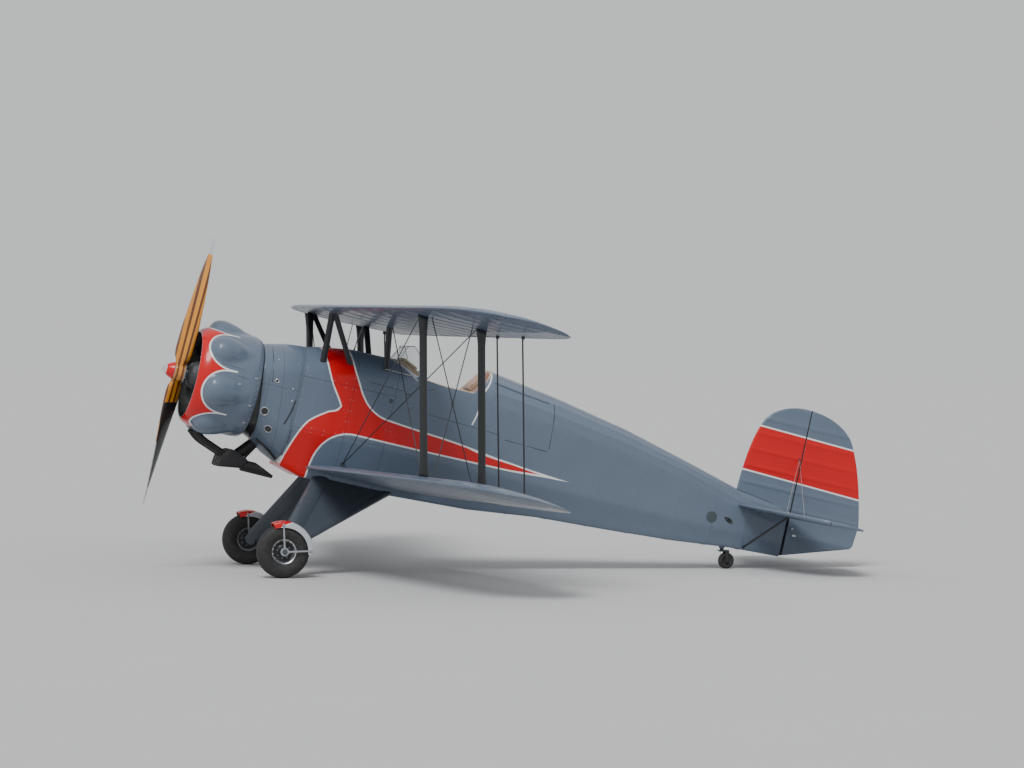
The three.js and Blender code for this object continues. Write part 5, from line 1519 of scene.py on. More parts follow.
def bezier(a, b, c, d, steps=24):
    t = np.linspace(0, 1, steps + 1)[:, None]
    a, b, c, d = (np.asarray(p, float) for p in (a, b, c, d))
    return (1 - t) ** 3 * a + 3 * (1 - t) ** 2 * t * b + 3 * (1 - t) * t**2 * c + t**3 * d


FIN_LENS = [(4900, 16), (5000, 26), (5466, 38), (5800, 20), (6110, 6)]
TAIL_LENS = [(4920, 12), (5020, 26), (5390, 36), (5700, 18), (5870, 6)]
TAILPLANE_Z, TAIL_HALF_SPAN = -55.0, 1230
RUDDER_X, ELEVATOR_X = 5466, 5390


def fin_outline():
    return np.concatenate([
        [(5468, -402), (4940, -402)],
        bezier((4948, 105), (4958, 330), (4990, 600), (5082, 724)),
        bezier((5082, 724), (5150, 808), (5290, 852), (5400, 853))[1:],
        bezier((5400, 853), (5600, 852), (5760, 790), (5846, 684))[1:],
        bezier((5846, 684), (5930, 560), (6010, 330), (6052, 129))[1:],
        bezier((6052, 129), (6090, -20), (6112, -180), (6028, -222))[1:],
        [(5882, -270), (5628, -357), (5466, -386)],
    ])


def tailplane_outline():
    half = TAIL_HALF_SPAN
    return np.concatenate([
        [(4950, 0)],
        bezier((4962, 95), (5030, 560), (5120, 930), (5240, 1110)),
        bezier((5240, 1110), (5310, 1200), (5390, half), (5470, half))[1:],
        bezier((5470, half), (5600, half), (5690, 1170), (5730, 1040))[1:],
        bezier((5730, 1040), (5800, 800), (5836, 520), (5826, 262))[1:],
        [(5486, 60), (5340, 60), (5340, 0)],
    ])


def chord_at(outline, level):
    """Where a level crosses an outline: its first and last x."""
    hits = []
    for (ax, ay), (bx, by) in zip(outline, np.roll(outline, -1, axis=0)):
        if (ay - level) * (by - level) <= 0 and ay != by:
            hits.append(ax + (level - ay) * (bx - ax) / (by - ay))
    return min(hits), max(hits)


def lens_row(outline, lens, level, end, sag=0.0, tape=0.0):
    """A section of a flat tail surface with round edges, as x and half-thickness pairs around it."""
    x0, x1 = chord_at(outline, level)
    s = (1 - np.cos(np.linspace(0, math.pi, 34))) / 2
    x = x0 + s * (x1 - x0)
    half = straight(lens, x)[:, 0] / 2
    radius = np.maximum(half, 3)
    near = np.clip(np.minimum(x - x0, x1 - x) / radius, 0, 1)
    top = np.clip(abs(end - level) / radius.max(), 0, 1)
    rounded = np.sqrt(1 - (1 - near) ** 2) * math.sqrt(max(1 - (1 - top) ** 2, 0.0005))
    thick = np.maximum(half * rounded * (1 - sag * (near >= 1)), 0.05) + tape * (near >= 1)
    return np.concatenate([x, x[::-1][1:-1]]), np.concatenate([thick, -thick[::-1][1:-1]])


def ribbed_levels(low, high, ribs):
    """Levels for a surface's sections with their sag and tape: taped ribs, sunk cloth between, a round far end."""
    rows = [(low, 0, 0)]
    stops = [r for r in ribs if low + 20 < r < high - 30]
    for rib, after in zip(stops, [*stops[1:], None]):
        rows += [(rib - 13, 0, 0), (rib - 11, 0, 0.7), (rib + 11, 0, 0.7), (rib + 13, 0, 0)]
        if after:
            rows += [(rib + t * (after - rib), 0.09 * math.sin(math.pi * t), 0) for t in (0.2, 0.35, 0.5, 0.65, 0.8)]
    last = stops[-1] + 13
    rows += [(last + t * (high - last), 0, 0) for t in (0.3, 0.55, 0.75, 0.86, 0.93, 0.97, 0.99, 0.998, 0.9995)]
    return rows


def tail():
    outline = fin_outline()
    rows = []
    for level, sag, tape in ribbed_levels(-385.5, 852.5, [-200, 0, 150, 290, 430, 570, 700]):
        x, thick = lens_row(outline, FIN_LENS, level, 852.5, sag, tape)
        rows.append(np.stack([x, thick, np.full(len(x), level)], -1))
    def space(nose):
        box = Shape().block((5866, 0, 250), (400, 80, 720), edge=0.01).made("rudder_box")
        post = Shape().bar((RUDDER_X, 0, -470), (RUDDER_X, 0, 970), nose, sides=40).made("rudder_post")
        return cut(box, post, "UNION")
    rudder = Shape().loft(rows).made("rudder_skin", 30)
    fin = Shape().loft(rows).made("fin_skin", 30)
    cut(rudder, space(18), "INTERSECT", 55)
    cut(fin, space(24), sharp=55)
    cut(fin, Shape().block((5100, 0, -220), (700, 90, 200), edge=0.01).made("fin_floor"), sharp=55)
    cut(fin, body_solid(4600, STERN_X), sharp=55)
    arms = Shape()
    for z in (120, 430, 720):
        arms.block((5427, 0, z), (20.7, 6, 9), edge=1.5)
    dressed(fin, "airframe", "fin", "fin")
    dressed(rudder, "rudder", "fin", "rudder")
    fitted(arms, "rudder_hinge_arms", "black")
    plan = tailplane_outline()
    rows = []
    for level, sag, tape in ribbed_levels(2, TAIL_HALF_SPAN, [150, 330, 510, 690, 870, 1040]):
        x, thick = lens_row(plan, TAIL_LENS, level, TAIL_HALF_SPAN, sag, tape)
        rows.append(np.stack([x, np.full(len(x), level), TAILPLANE_Z + thick], -1))
    def aft(nose):
        box = Shape().block((5790, 700, TAILPLANE_Z), (400, 780, 90), edge=0.01).made("elevator_box")
        post = Shape().bar((ELEVATOR_X, -80, TAILPLANE_Z), (ELEVATOR_X, 1480, TAILPLANE_Z), nose, sides=40)
        return cut(box, post.made("elevator_post"), "UNION")
    elevator = Shape().loft(rows).made("elevator_skin", 30)
    plane = Shape().loft(rows).made("tailplane_skin", 30)
    cut(elevator, aft(17), "INTERSECT", 55)
    cut(elevator, Shape().block((5500, 0, TAILPLANE_Z), (400, 56, 90), edge=0.01).made("rudder_room"), sharp=55)
    cut(plane, aft(23), sharp=55)
    cut(plane, body_solid(4600, STERN_X), sharp=55)
    both_sides(plane, "tailplane_skin_{}", "airframe", "grey", "tailplane_{}")
    both_sides(elevator, "elevator_skin_{}", "elevators", "grey", "")
    tube = Shape().bar((ELEVATOR_X, -70, TAILPLANE_Z), (ELEVATOR_X, 70, TAILPLANE_Z), 14, sides=32, edge=1)
    dressed(tube.made("elevator_torque_tube"), "elevators", "black", "elevators")


# Undercarriage

GUARD = {"radius": 237.0, "half": 77.0, "thick": 5.0, "drop": 46.0, "rear": 6.0, "front": 124.0, "brace": 79.0}
GUARD_TAPER = 100.0
BRACE_TURNS = (105, 14)


def guard_row(degrees):
    """A crowned section across the guard, outside and then inside, about the axle."""
    taper = np.clip((degrees - GUARD_TAPER) / (GUARD["front"] - GUARD_TAPER), 0, 1)
    taper = taper * taper * (3 - 2 * taper)
    wide, drop = 1 - 0.12 * taper * taper, GUARD["drop"] * (1 - 0.12 * taper)
    rows = []
    for inset in (0.0, GUARD["thick"]):
        half = [(1, -drop), (0.985, -drop * 0.6), (0.965, -13 - inset), (0.9, -5 - inset), (0.72, -1 - inset),
                (0.4, 2.4 - inset), (0, 4 - inset)]
        points = [*half, *[(-a, b) for a, b in half[-2::-1]]]
        rows.append([(a * (GUARD["half"] * wide - inset), GUARD["radius"] + b) for a, b in points])
    section = rows[0] + rows[1][::-1]
    turn = math.radians(degrees)
    return [(math.cos(turn) * r, y, math.sin(turn) * r) for y, r in section]


def mudguard(side, centre):
    """A crowned guard with a rolled edge, and its braces on the axle."""
    shape = Shape()
    rear, front = GUARD["rear"], GUARD["front"]
    degrees = np.concatenate([[rear, rear + 1], np.linspace(rear + 3, 100, 32), np.linspace(102, front - 2, 16),
                              [front - 0.8, front]])
    rows = [guard_row(angle) for angle in degrees]
    shape.loft(np.array(rows) + centre)
    for edge in (0, 12):
        path = np.array([row[edge] for row in rows]) + centre
        shape.tube(path, 2.6, 8)
    obj = shape.made(f"mudguard_{side}_skin", 40)
    points = level_points(obj) - centre
    angle = np.degrees(np.arctan2(points[:, 2], points[:, 0]))
    radius = np.hypot(points[:, 0], points[:, 2])
    drop = np.clip((GUARD["radius"] + 2 - radius) / GUARD["drop"], 0, 1)
    start = sizes().cap_turn - 2 + 26 * drop
    with_attribute(obj, "edge", np.radians(start - angle) * radius)
    dressed(obj, "airframe", "mudguard", f"mudguard_{side}")
    braces = Shape()
    low, high = GUARD["brace"], GUARD["brace"] + 5
    for sign in (-1, 1):
        hub = centre + (0, sign * (low + high) / 2, 0)
        braces.turned([(-2.5, 20.6), (-2.5, 34), (2.5, 34), (2.5, 20.6)], hub, STARBOARD, 32)
        for turn in BRACE_TURNS:
            a = math.radians(turn)
            along, square = np.array([math.cos(a), 0, math.sin(a)]), np.array([-math.sin(a), 0, math.cos(a)])
            braces.block(hub + along * 124, (96, 6.5, 2.2), [along, square, STARBOARD], 0.8)
            braces.block(hub + along * 210 - (0, sign * 1.5, 0), (10, 9, 4.5), [along, square, STARBOARD], 1)
    fitted(braces, f"mudguard_{side}_braces", "brace")
    spots = []
    for sign in (-1, 1):
        for turn in BRACE_TURNS:
            a = math.radians(turn)
            for r in (206, 214):
                spots.append((centre + (math.cos(a) * r, sign * high, math.sin(a) * r), sign * STARBOARD))
    studded(f"mudguard_{side}_bolts", spots, "bright", 4, 3, 6, 0.9)


TYRE_WALL = [(-44, 96), (-53, 101), (-61, 113), (-67, 132), (-70, 150), (-67, 172), (-58, 190), (-46, 201)]
RIM_EDGE = [(22, 80), (26, 84), (40, 90), (46, 93), (50, 97), (54, 99), (56, 97.5), (54, 93.5), (50, 88), (44, 84),
            (36, 81), (28, 77)]


def wheel_and_tyre(side, sign, centre):
    body = f"wheel_{side}"
    tyre = Shape()
    wall = path_through(TYRE_WALL, 22)
    tread = [(y, 201 + 9 * (1 - (y / 46) ** 2) - 3 * (abs((y + 4.5) % 9 - 4.5) < 1.1))
             for y in np.linspace(-45, 45, 81)]
    profile = [*map(tuple, wall), *tread, *[(-y, r) for y, r in wall[::-1]]]
    tyre.turned(profile, centre, STARBOARD, 96)
    dressed(tyre.made(f"main_tyre_{side}_finished", 50), body, "rubber", f"main_tyre_{side}")
    rim, disc = Shape(), Shape()
    for way in (-1, 1):
        rim.turned([(y * way, r) for y, r in RIM_EDGE], centre, STARBOARD, 96)
    rim.turned([(-43, 95.4), (-43, 92), (43, 92), (43, 95.4)], centre, STARBOARD, 96)
    half = [(56, 20.6), (56, 36), (53, 39), (37, 43), (33, 48), (20, 66), (20, 74), (27, 84), (20, 90)]
    disc.turned([*[(-y, r) for y, r in half], *half[::-1]], centre, STARBOARD, 96)
    dressed(rim.made(f"main_wheel_{side}_rim", 40), body, "aluminium")
    dressed(disc.made(f"main_wheel_{side}_disc", 40), body, "wheel", f"main_wheel_{side}")
    spots = [(centre + np.array([math.cos(a) * reach, way * face, math.sin(a) * reach]), way * STARBOARD)
             for way in (-1, 1) for count, reach, face in ((16, 87.5, 50), (8, 52, 28)) for a in all_round(count)]
    studded(f"main_wheel_{side}_bolts", spots, "bright", 4.2, 4, 6, 0.9, body)
    caps = Shape()
    end = centre + (0, sign * 86, 0)
    caps.bar(end, end + (0, sign * 5.5, 0), 17, sides=6, edge=1)
    fitted(caps, f"axle_nut_{side}", "bright")


def undercarriage():
    for side, sign in (("left", -1), ("right", 1)):
        centre = np.array(AXLE) * (1, sign, 1)
        leg = node_copy(f"gear_leg_{side}", f"gear_leg_{side}_finished", 1.5, 2, 55)
        # The legs take the body's grey darkened as painted shade.
        dressed(leg, "airframe", "leg", f"gear_leg_{side}")
        mudguard(side, centre)
        wheel_and_tyre(side, sign, centre)


def tailwheel():
    fork = node_copy("tailwheel_fork", "tailwheel_fork_finished", 1.5, 2)
    dressed(fork, "tail_fork", "black", "tailwheel_fork")
    wheel = node_copy("tailwheel", "tailwheel_finished", 1.5, 2)
    dressed(wheel, "tail_wheel", "rubber", "tailwheel")


# Body fittings

def ribbon(shape, path, outs, half, thick):
    """A flat strip along a path, lying on the way that each of its points faces."""
    path, outs = np.asarray(path, float), np.asarray(outs, float)
    rows = []
    for point, out, way in zip(path, outs, np.gradient(path, axis=0)):
        side = unit(np.cross(unit(way), out))
        rows.append([point - side * half, point - side * (half - thick) + out * thick,
                     point + side * (half - thick) + out * thick, point + side * half])
    return shape.loft(rows)


def deck_height(x, y):
    half, top, shoulder = straight(STATIONS, x)[0][:3]
    return shoulder + (top - shoulder) * math.sqrt(max(1 - (y / half) ** 2, 0))


DECK_EDGE = [(2641, 556), (2630, 520), (2603, 440), (2562, 356), (2548, 250), (2541, 175), (2518, 87)]
PANEL_LINES = [
    [(2129, 92), (2400, 77), (2560, 70), (2760, 59)],
    [(2819, 30), (3000, 22), (3194, 14)],
    [(3190, 404), (3198, 220), (3207, 33)],
    [(2578, 474), (2845, 435), (3139, 401)],
    [(2092, 274), (2153, 303)],
    [(1613, 239), (1760, 233), (1894, 228)],
]
ROUND_PLATE, LIFT_HOLE = (4744, -204, 48), [(4855, -181), (4904, -200), (4954, -219)]
SCREW_ROWS = (1090, 1488, 1512, 1826, 1866)


def body_fittings():
    """Seam beads, the white edging of the deck's front, plates, the lifting tube and the panels' screws."""
    rings = body_rings(1066, 5400)
    lines, plates, hole_shades, handle = Shape(), Shape(), Shape(), Shape()
    for line in PANEL_LINES:
        lines.tube(along_skin(rings, line, -0.9, 16), 1.8, 6)
    x, z, radius = ROUND_PLATE
    point, out = on_side(rings, x, z)
    rim = [(-3, radius), (1.2, radius), (2.2, radius - 2), (2.6, radius - 14), (2.8, 0), (-3, 0)]
    plates.turned(rim, point, out, 48)
    point, out = on_side(rings, 1815, 128)
    plates.turned([(-3, 17), (2, 17), (4, 14), (4.5, 0), (-3, 0)], point, out, 32)
    slot = np.array(along_skin(rings, LIFT_HOLE, -9, 12))
    # The lifting tube's mouth is a black lens on the skin: painted shade for the dark inside of the hole.
    hole_shades.tube(slot, 20 * np.sin(np.linspace(0.25, math.pi - 0.25, 12)), 20)
    handle.bar(slot[3] + (0, 9, 0), slot[-3] + (0, 9, 0), 7, sides=16, edge=1)
    rod = [on_side(rings, x, z, 12)[0] for x, z in ((1718, 361), (1800, 359), (1897, 356), (1930, 359))]
    handle.tube(path_through(rod, 20), 5, 14)
    for x, z in ((1722, 361), (1926, 359)):
        point, out = on_side(rings, x, z)
        handle.bar(point - out * 3, point + out * 12, 6, sides=14, edge=1)
    on_both_sides(lines, "body_seam_beads", "black")
    # The round plates share the legs' grey, which is darkened as painted shade.
    on_both_sides(plates, "body_round_plates", "leg")
    on_both_sides(hole_shades, "lifting_tube_mouth", "black")
    on_both_sides(handle, "deck_grab_rod", "bright")
    side = [on_side(rings, x, z) for x, z in path_through(DECK_EDGE, 40)[5:]]
    over = path_through([(2641, 0), (2637, 90), (side[0][0][0], side[0][0][1])], 12)[:-1]
    arch = [(x, y, deck_height(x, y)) for x, y in over]
    half = straight(STATIONS, 2641)[0]
    outs = [unit((0.1, y / half[0] ** 2, (z - half[2]) / (half[1] - half[2]) ** 2)) for _, y, z in arch]
    path, outs = [*arch, *[p for p, _ in side]], [*outs, *[o for _, o in side]]
    edging = ribbon(Shape(), np.array(path) - np.array(outs) * 0.6, outs, 7, 2.4)
    on_both_sides(edging, "deck_front_edging", "white")
    spots = []
    for x in SCREW_ROWS:
        for z in np.arange(-200, 330, 88):
            point, out = on_side(rings, x, z, 0.3)
            spots += [(point, out), (point * (1, -1, 1), out * (1, -1, 1))]
    for z in (150, 186, -224, -260):
        for x in np.arange(1130, 1830, 100):
            if abs(x - 1500) > 30:
                point, out = on_side(rings, x, z, 0.3)
                spots += [(point, out), (point * (1, -1, 1), out * (1, -1, 1))]
    studded("body_panel_screws", spots, "brace", 3.6, 1.6, 10, 0.7)


def tail_fittings():
    """Bracing wires from the fin to the tailplane, the rudder's horn and its lower fittings."""
    wires, ends = Shape(), Shape()
    for b in ((5345, 655, -42), (5190, 640, -38)):
        a = (5430, 18, 428)
        wires.bar(a, b, 2.2, sides=8)
        ends.block(a, (7, 4, 9), edge=1)
        ends.block(b, (8, 7, 4), edge=1)
    on_both_sides(wires, "tail_wires", "bright")
    on_both_sides(ends, "tail_wire_ends", "black")
    # The stern post and a shroud round the rudder's nose close the hinge gap; their black is painted shade along the
    # hinge line.
    post = Shape().block((5435.6, 0, -234), (5.2, 8, 156), edge=1)
    turns = np.radians(np.linspace(-50, 50, 21))
    post.loft([[(RUDDER_X - math.cos(t) * 26, math.sin(t) * 26, z) for t in turns]
               + [(RUDDER_X - math.cos(t) * 23.3, math.sin(t) * 23.3, z) for t in turns[::-1]] for z in (-391, -77)])
    fitted(post, "stern_post", "black")
    horn = Shape().block((5482, 0, -152), (9, 66, 3), edge=1)
    for sign in (-1, 1):
        horn.bar((5482, sign * 56, -160), (5482, sign * 56, -144), 5, sides=12, edge=1)
        horn.block((5526, sign * 17, -206), (16, 5, 9), edge=2)
    dressed(horn.made("rudder_horn"), "rudder", "aluminium")


# Cockpit

SCREEN_TABLE = [(300, 246, 330, 2012), (480, 212, 270, 2018), (640, 120, 190, 2024)]
SCREEN_TOP = [(1700, 566), (1858, 570), (1895, 595), (1945, 604), (2040, 470)]
DIALS = [(0, 340, 44), (-125, 318, 40), (125, 318, 40), (-205, 216, 34), (205, 216, 34), (-70, 205, 42), (70, 205, 42),
         (-150, 128, 26), (150, 128, 26)]
PANEL_FACE = 1942.0


def screen_point(share, z):
    reach, half, x = straight(SCREEN_TABLE, z)[0]
    return np.array([x - math.sin(share * math.pi) * reach, -math.cos(share * math.pi) * half, z])


def screen_end(share, top):
    """Where the screen's sheet ends at the top or meets the deck, at a share of the way round."""
    z = 560.0 if top else 450.0
    for _ in range(30):
        x, y, _ = screen_point(share, z)
        z += 0.5 * ((straight(SCREEN_TOP, x)[0, 0] if top else deck_height(x, y)) - z)
    return screen_point(share, z)


def windscreen():
    sheet = node_copy("windscreen", "windscreen_sheet", 0.0, sharp=50)
    dressed(sheet, "airframe", "clear", "windscreen")
    frame_bars, strip = Shape(), Shape()
    shares = np.linspace(0.025, 0.975, 41)
    tops, feet = ([screen_end(share, top) for share in shares] for top in (True, False))
    frame_bars.tube([feet[0] + (0, 0, 3), *tops, feet[-1] + (0, 0, 3)], 3.6, 12)
    for share in (0.3, 0.7):
        top, foot = screen_end(share, True), screen_end(share, False)
        frame_bars.tube([screen_point(share, z) for z in np.linspace(foot[2] + 1, top[2], 10)], 3.0, 10)
    rows, spots = [], []
    for k, (share, foot) in enumerate(zip(shares, feet)):
        angle = share * math.pi
        reach, half, _ = straight(SCREEN_TABLE, foot[2])[0]
        way = unit((-math.sin(angle) * half, -math.cos(angle) * reach, 0))
        row = []
        for out, rise in ((-3, -1.5), (17, -1.5), (17, 1.2), (15.5, 2.2), (-3, 3.4)):
            point = foot + way * out
            row.append((point[0], point[1], deck_height(point[0], point[1]) + rise))
        rows.append(row)
        if k % 4 == 2:
            point = foot + way * 9
            spots.append(((point[0], point[1], deck_height(point[0], point[1]) + 2.4), UP + way * 0.4))
    strip.loft(rows)
    fitted(frame_bars, "windscreen_frame", "aluminium")
    fitted(strip, "windscreen_base_strip", "silver")
    studded("windscreen_screws", spots, "bright", 3.6, 2, 10, 0.7)


def coaming_apron():
    """Leather laid on the deck between the screen and the padded roll."""
    x, reach, half = OPENING_FRONT.values()
    rows = []
    for share in np.linspace(0.03, 0.97, 41):
        angle = share * math.pi
        foot = screen_end(share, False)
        outer = np.array([foot[0] + 12 * math.sin(angle), foot[1] * 0.975])
        inner = np.array([x - math.sin(angle) * (reach + 24), -math.cos(angle) * (half + 12)])
        spots = [outer + (inner - outer) * t for t in np.linspace(0, 1, 7)]
        low = [(px, py, deck_height(px, py) + 0.6) for px, py in spots]
        high = [(px, py, deck_height(px, py) + 1.6 + 4.0 * math.sin(math.pi * t))
                for (px, py), t in zip(spots, np.linspace(0, 1, 7))]
        rows.append(low + high[::-1])
    apron = Shape().loft(rows).made("coaming_apron", 50)
    dressed(apron, "airframe", "leather")


def instruments():
    panel = node_copy("instrument_panel", "instrument_panel_finished", 1.0)
    dressed(panel, "airframe", "black", "instrument_panel")
    bezels, faces, needles, marks, screws = Shape(), Shape(), Shape(), [], []
    for y, z, radius in DIALS:
        at = np.array([PANEL_FACE, y, z])
        bezels.turned([(0.2, radius + 5), (5, radius + 4), (7, radius + 1), (6, radius - 2), (2, radius - 2.5),
                       (0.2, radius - 2.5)], at, AFT, 48)
        faces.turned([(0.2, 0), (0.2, radius - 3), (1.6, radius - 3), (1.6, 0)], at, AFT, 48, closed=False)
        turn = 0.9 + 1.7 * y / 100
        way = from_shaft(turn)
        needles.block(at + (2.4, 0, 0) + way * radius * 0.3, (0.5, 1.2, radius * 0.42),
                      [AFT, np.cross(way, AFT), way], 0.3)
        needles.bar(at + (1.5, 0, 0), at + (4, 0, 0), 3, sides=12)
        for k in range(12):
            a = k * math.pi / 6
            marks.append((at + (1.8, math.sin(a) * radius * 0.78, math.cos(a) * radius * 0.78), AFT))
        for k in range(4):
            a = (k + 0.5) * math.pi / 2
            screws.append((at + (0.8, math.sin(a) * (radius + 9), math.cos(a) * (radius + 9)), AFT))
    fitted(bezels, "dial_bezels", "black")
    fitted(faces, "dial_faces", "dial")
    fitted(needles, "dial_needles", "white")
    studded("dial_marks", marks, "white", 1.9, 0.8, 4, 0.9)
    studded("dial_screws", screws, "bright", 3, 1.6, 8, 0.8)


def seat_and_harness():
    seat = node_copy("seat", "seat_finished", 3.0)
    dressed(seat, "airframe", "seat", "seat")
    straps, buckles = Shape(), Shape()
    for sign in (-1, 1):
        shoulder = [(2560, 60, 60), (2536, 70, 118), (2518, 78, 127), (2494, 84, 100), (2488, 84, -60),
                    (2470, 70, -230), (2420, 40, -284)]
        lap = [(2488, 184, -200), (2470, 150, -262), (2440, 90, -286), (2410, 30, -287)]
        for points, steps in ((shoulder, 40), (lap, 24)):
            path = path_through([(x, sign * y, z) for x, y, z in points], steps)
            across_strap = STARBOARD if points is shoulder else AFT
            outs = [unit(np.cross(across_strap, unit(way))) for way in np.gradient(path, axis=0)]
            outs = [out if out @ np.array([-0.6, 0, 0.8]) > 0 else -out for out in outs]
            ribbon(straps, path, outs, 21, 2.4)
        buckles.block((2486, sign * 84, -20), (5, 26, 18), edge=2)
        buckles.block((2416, sign * 34, -281), (24, 14, 4), edge=2)
    fitted(straps, "harness_straps", "webbing")
    fitted(buckles, "harness_buckles", "bright")


def controls():
    stick = node_copy("control_stick", "control_stick_finished", 1.5)
    dressed(stick, "airframe", "black", "control_stick")
    lever = Shape()
    lever.block((2080, -262, 130), (46, 6, 30), edge=3)
    lever.bar((2080, -252, 140), (2058, -246, 214), 4.5, 4, 12, 1)
    lever.turned([(-11, 0), (-9, 7), (-4, 11), (4, 11), (9, 7), (11, 0)], (2056, -245.5, 222), UP, 24, closed=False)
    fitted(lever, "throttle_lever", "black")


def rim_edging():
    """Leather beading along the cockpit's rim and up the deck's front edge."""
    rings = body_rings(1960, 2660)
    path = [(x, skin_at(rings, x, z) - 9, z + 1.5) for x, z in path_through(OPENING[1:6], 60) if x > 2016]
    on_both_sides(Shape().tube(path, 6.5, 10), "cockpit_rim_beading", "piping")


def cockpit():
    windscreen()
    coaming_apron()
    instruments()
    seat_and_harness()
    controls()
    rim_edging()


# Padding

SOLVER_FRAMES = 20


def remeshed(obj, voxel, inset):
    """Even quads all over, a little inside the piece."""
    modifier = obj.modifiers.new("even", "REMESH")
    modifier.mode, modifier.voxel_size, modifier.use_smooth_shade = "VOXEL", voxel / 1000, True
    applied(obj)
    normals = np.empty(len(obj.data.vertices) * 3)
    obj.data.vertices.foreach_get("normal", normals)
    move(obj, -normals.reshape(-1, 3) * inset / 1000)


def move(obj, offsets):
    points = np.empty(len(obj.data.vertices) * 3)
    obj.data.vertices.foreach_get("co", points)
    obj.data.vertices.foreach_set("co", points + np.asarray(offsets).ravel())
    obj.data.update()


def swollen(obj, cap):
    """The cover pressed outwards by the cloth solver, no point moving further than the cap."""
    scene = bpy.context.scene
    before = np.array([v.co for v in obj.data.vertices])
    modifier = obj.modifiers.new("swell", "CLOTH")
    modifier.settings.use_pressure = True
    modifier.settings.uniform_pressure_force = 4.0
    modifier.settings.effector_weights.gravity = 0.0
    modifier.settings.quality = 4
    modifier.point_cache.frame_start, modifier.point_cache.frame_end = 1, SOLVER_FRAMES
    for step in range(1, SOLVER_FRAMES + 1):
        scene.frame_set(step)
    applied(obj)
    scene.frame_set(1)
    after = np.array([v.co for v in obj.data.vertices])
    shift = after - before
    length = np.linalg.norm(shift, axis=1)
    allowed = np.minimum(length, cap / 1000) / np.maximum(length, 1e-9)
    move(obj, shift * (allowed - 1)[:, None])


def rounded_once(obj):
    modifier = obj.modifiers.new("round", "SUBSURF")
    modifier.levels = modifier.render_levels = 1
    return smoothed(applied(obj), 60)


def coaming_line(turn, radius, steps=60):
    """A line along the coaming roll, at a turn about its middle and a distance from it."""
    x, reach, half = OPENING_FRONT.values()
    angles = np.linspace(0.115, 0.885, steps) * math.pi
    path = np.stack([x - np.sin(angles) * reach, -np.cos(angles) * half], -1)
    path = np.array([(px, py, deck_height(px, py) + 5) for px, py in path])
    out = []
    for point, way in zip(path, np.gradient(path, axis=0)):
        side = unit(np.cross(way, UP))
        above = unit(np.cross(side, way))
        out.append(point + radius * (math.cos(turn) * side + math.sin(turn) * above))
    return np.array(out)


def coaming_roll():
    roll = node_copy("coaming_pad", "coaming_roll", 0.0)
    remeshed(roll, 5.0, 2.2)
    swollen(roll, 3.0)
    rounded_once(roll)
    points = level_points(roll)
    middle = coaming_line(0.0, 0.0, 120)
    nearest = np.linalg.norm(points[:, None] - middle[None], axis=2).argmin(axis=1)
    along = np.arange(len(middle))[nearest]
    pucker = 0.7 * np.sin(along * 0.9) * np.clip(np.linalg.norm(points - middle[nearest], axis=1) / 19, 0, 1)
    inward = middle[nearest] - points
    inward /= np.maximum(np.linalg.norm(inward, axis=1), 1e-6)[:, None]
    move(roll, placed_step(inward * pucker[:, None]))
    dressed(roll, "airframe", "leather", "coaming_pad")
    lines = [coaming_line(turn, 19.2) for turn in (1.05, 2.1)]
    dressed(stitches("coaming_stitches", lines, "thread", 9, 6, 1.1), "airframe")


def slope_frame():
    """The headrest's slope: its foot and its directions up the slope and out of it."""
    foot, head = (np.array([x, 0, z]) for x, z in DECK_FRONT.values())
    slope = unit(head - foot)
    return foot, slope, np.array([-slope[2], 0, slope[0]])


CHANNELS = (-52, 0, 52)


def headrest():
    foot, slope, out = slope_frame()
    pad = node_copy("headrest_pad", "headrest_cushion", 6.0, 3)
    remeshed(pad, 5.0, 4.0)
    swollen(pad, 6.0)
    rounded_once(pad)
    points = level_points(pad) - foot
    off, y = points @ out, points[:, 1]
    groove = sum(np.exp(-((y - channel) / 7) ** 2) for channel in CHANNELS)
    front = np.clip((off - 8) / 14, 0, 1)
    sunk = 5.0 * groove * front + np.minimum(off - 0.6, 0)
    move(pad, placed_step(-sunk[:, None] * out))
    dressed(pad, "airframe", "canvas", "headrest_pad")
    border = [(20, -97, 6), (238, -97, 6), (238, 97, 6), (20, 97, 6)]
    corners = [foot + slope * a + STARBOARD * y + out * o for a, y, o in border]
    ring = np.concatenate([eased_corner(corners[k - 1], corners[k], corners[(k + 1) % 4], 22, 6) for k in range(4)])
    piping = Shape().tube([*ring, ring[0]], 3.2, 8)
    fitted(piping, "headrest_piping", "piping")
    lines = []
    for channel in CHANNELS[::2]:
        lines.append([foot + slope * a + STARBOARD * channel + out * 31 for a in np.linspace(72, 208, 20)])
    dressed(stitches("headrest_stitches", lines, "thread", 8, 5, 0.9), "airframe")


def pads():
    coaming_roll()
    headrest()


# Stage

AIR = 0.72
FLOOR_TONE, FLOOR_HALF = 0.55, 90.0
LIGHT_FROM = (-0.45, -0.75, 1.15)
CAMERA = {
    "at": (-7.384, -26.892, 2.065),
    "forward": (0.26373, 0.96440, -0.01942),
    "right": (0.96455, -0.26346, 0.01515),
    "lens": 119.65,
}


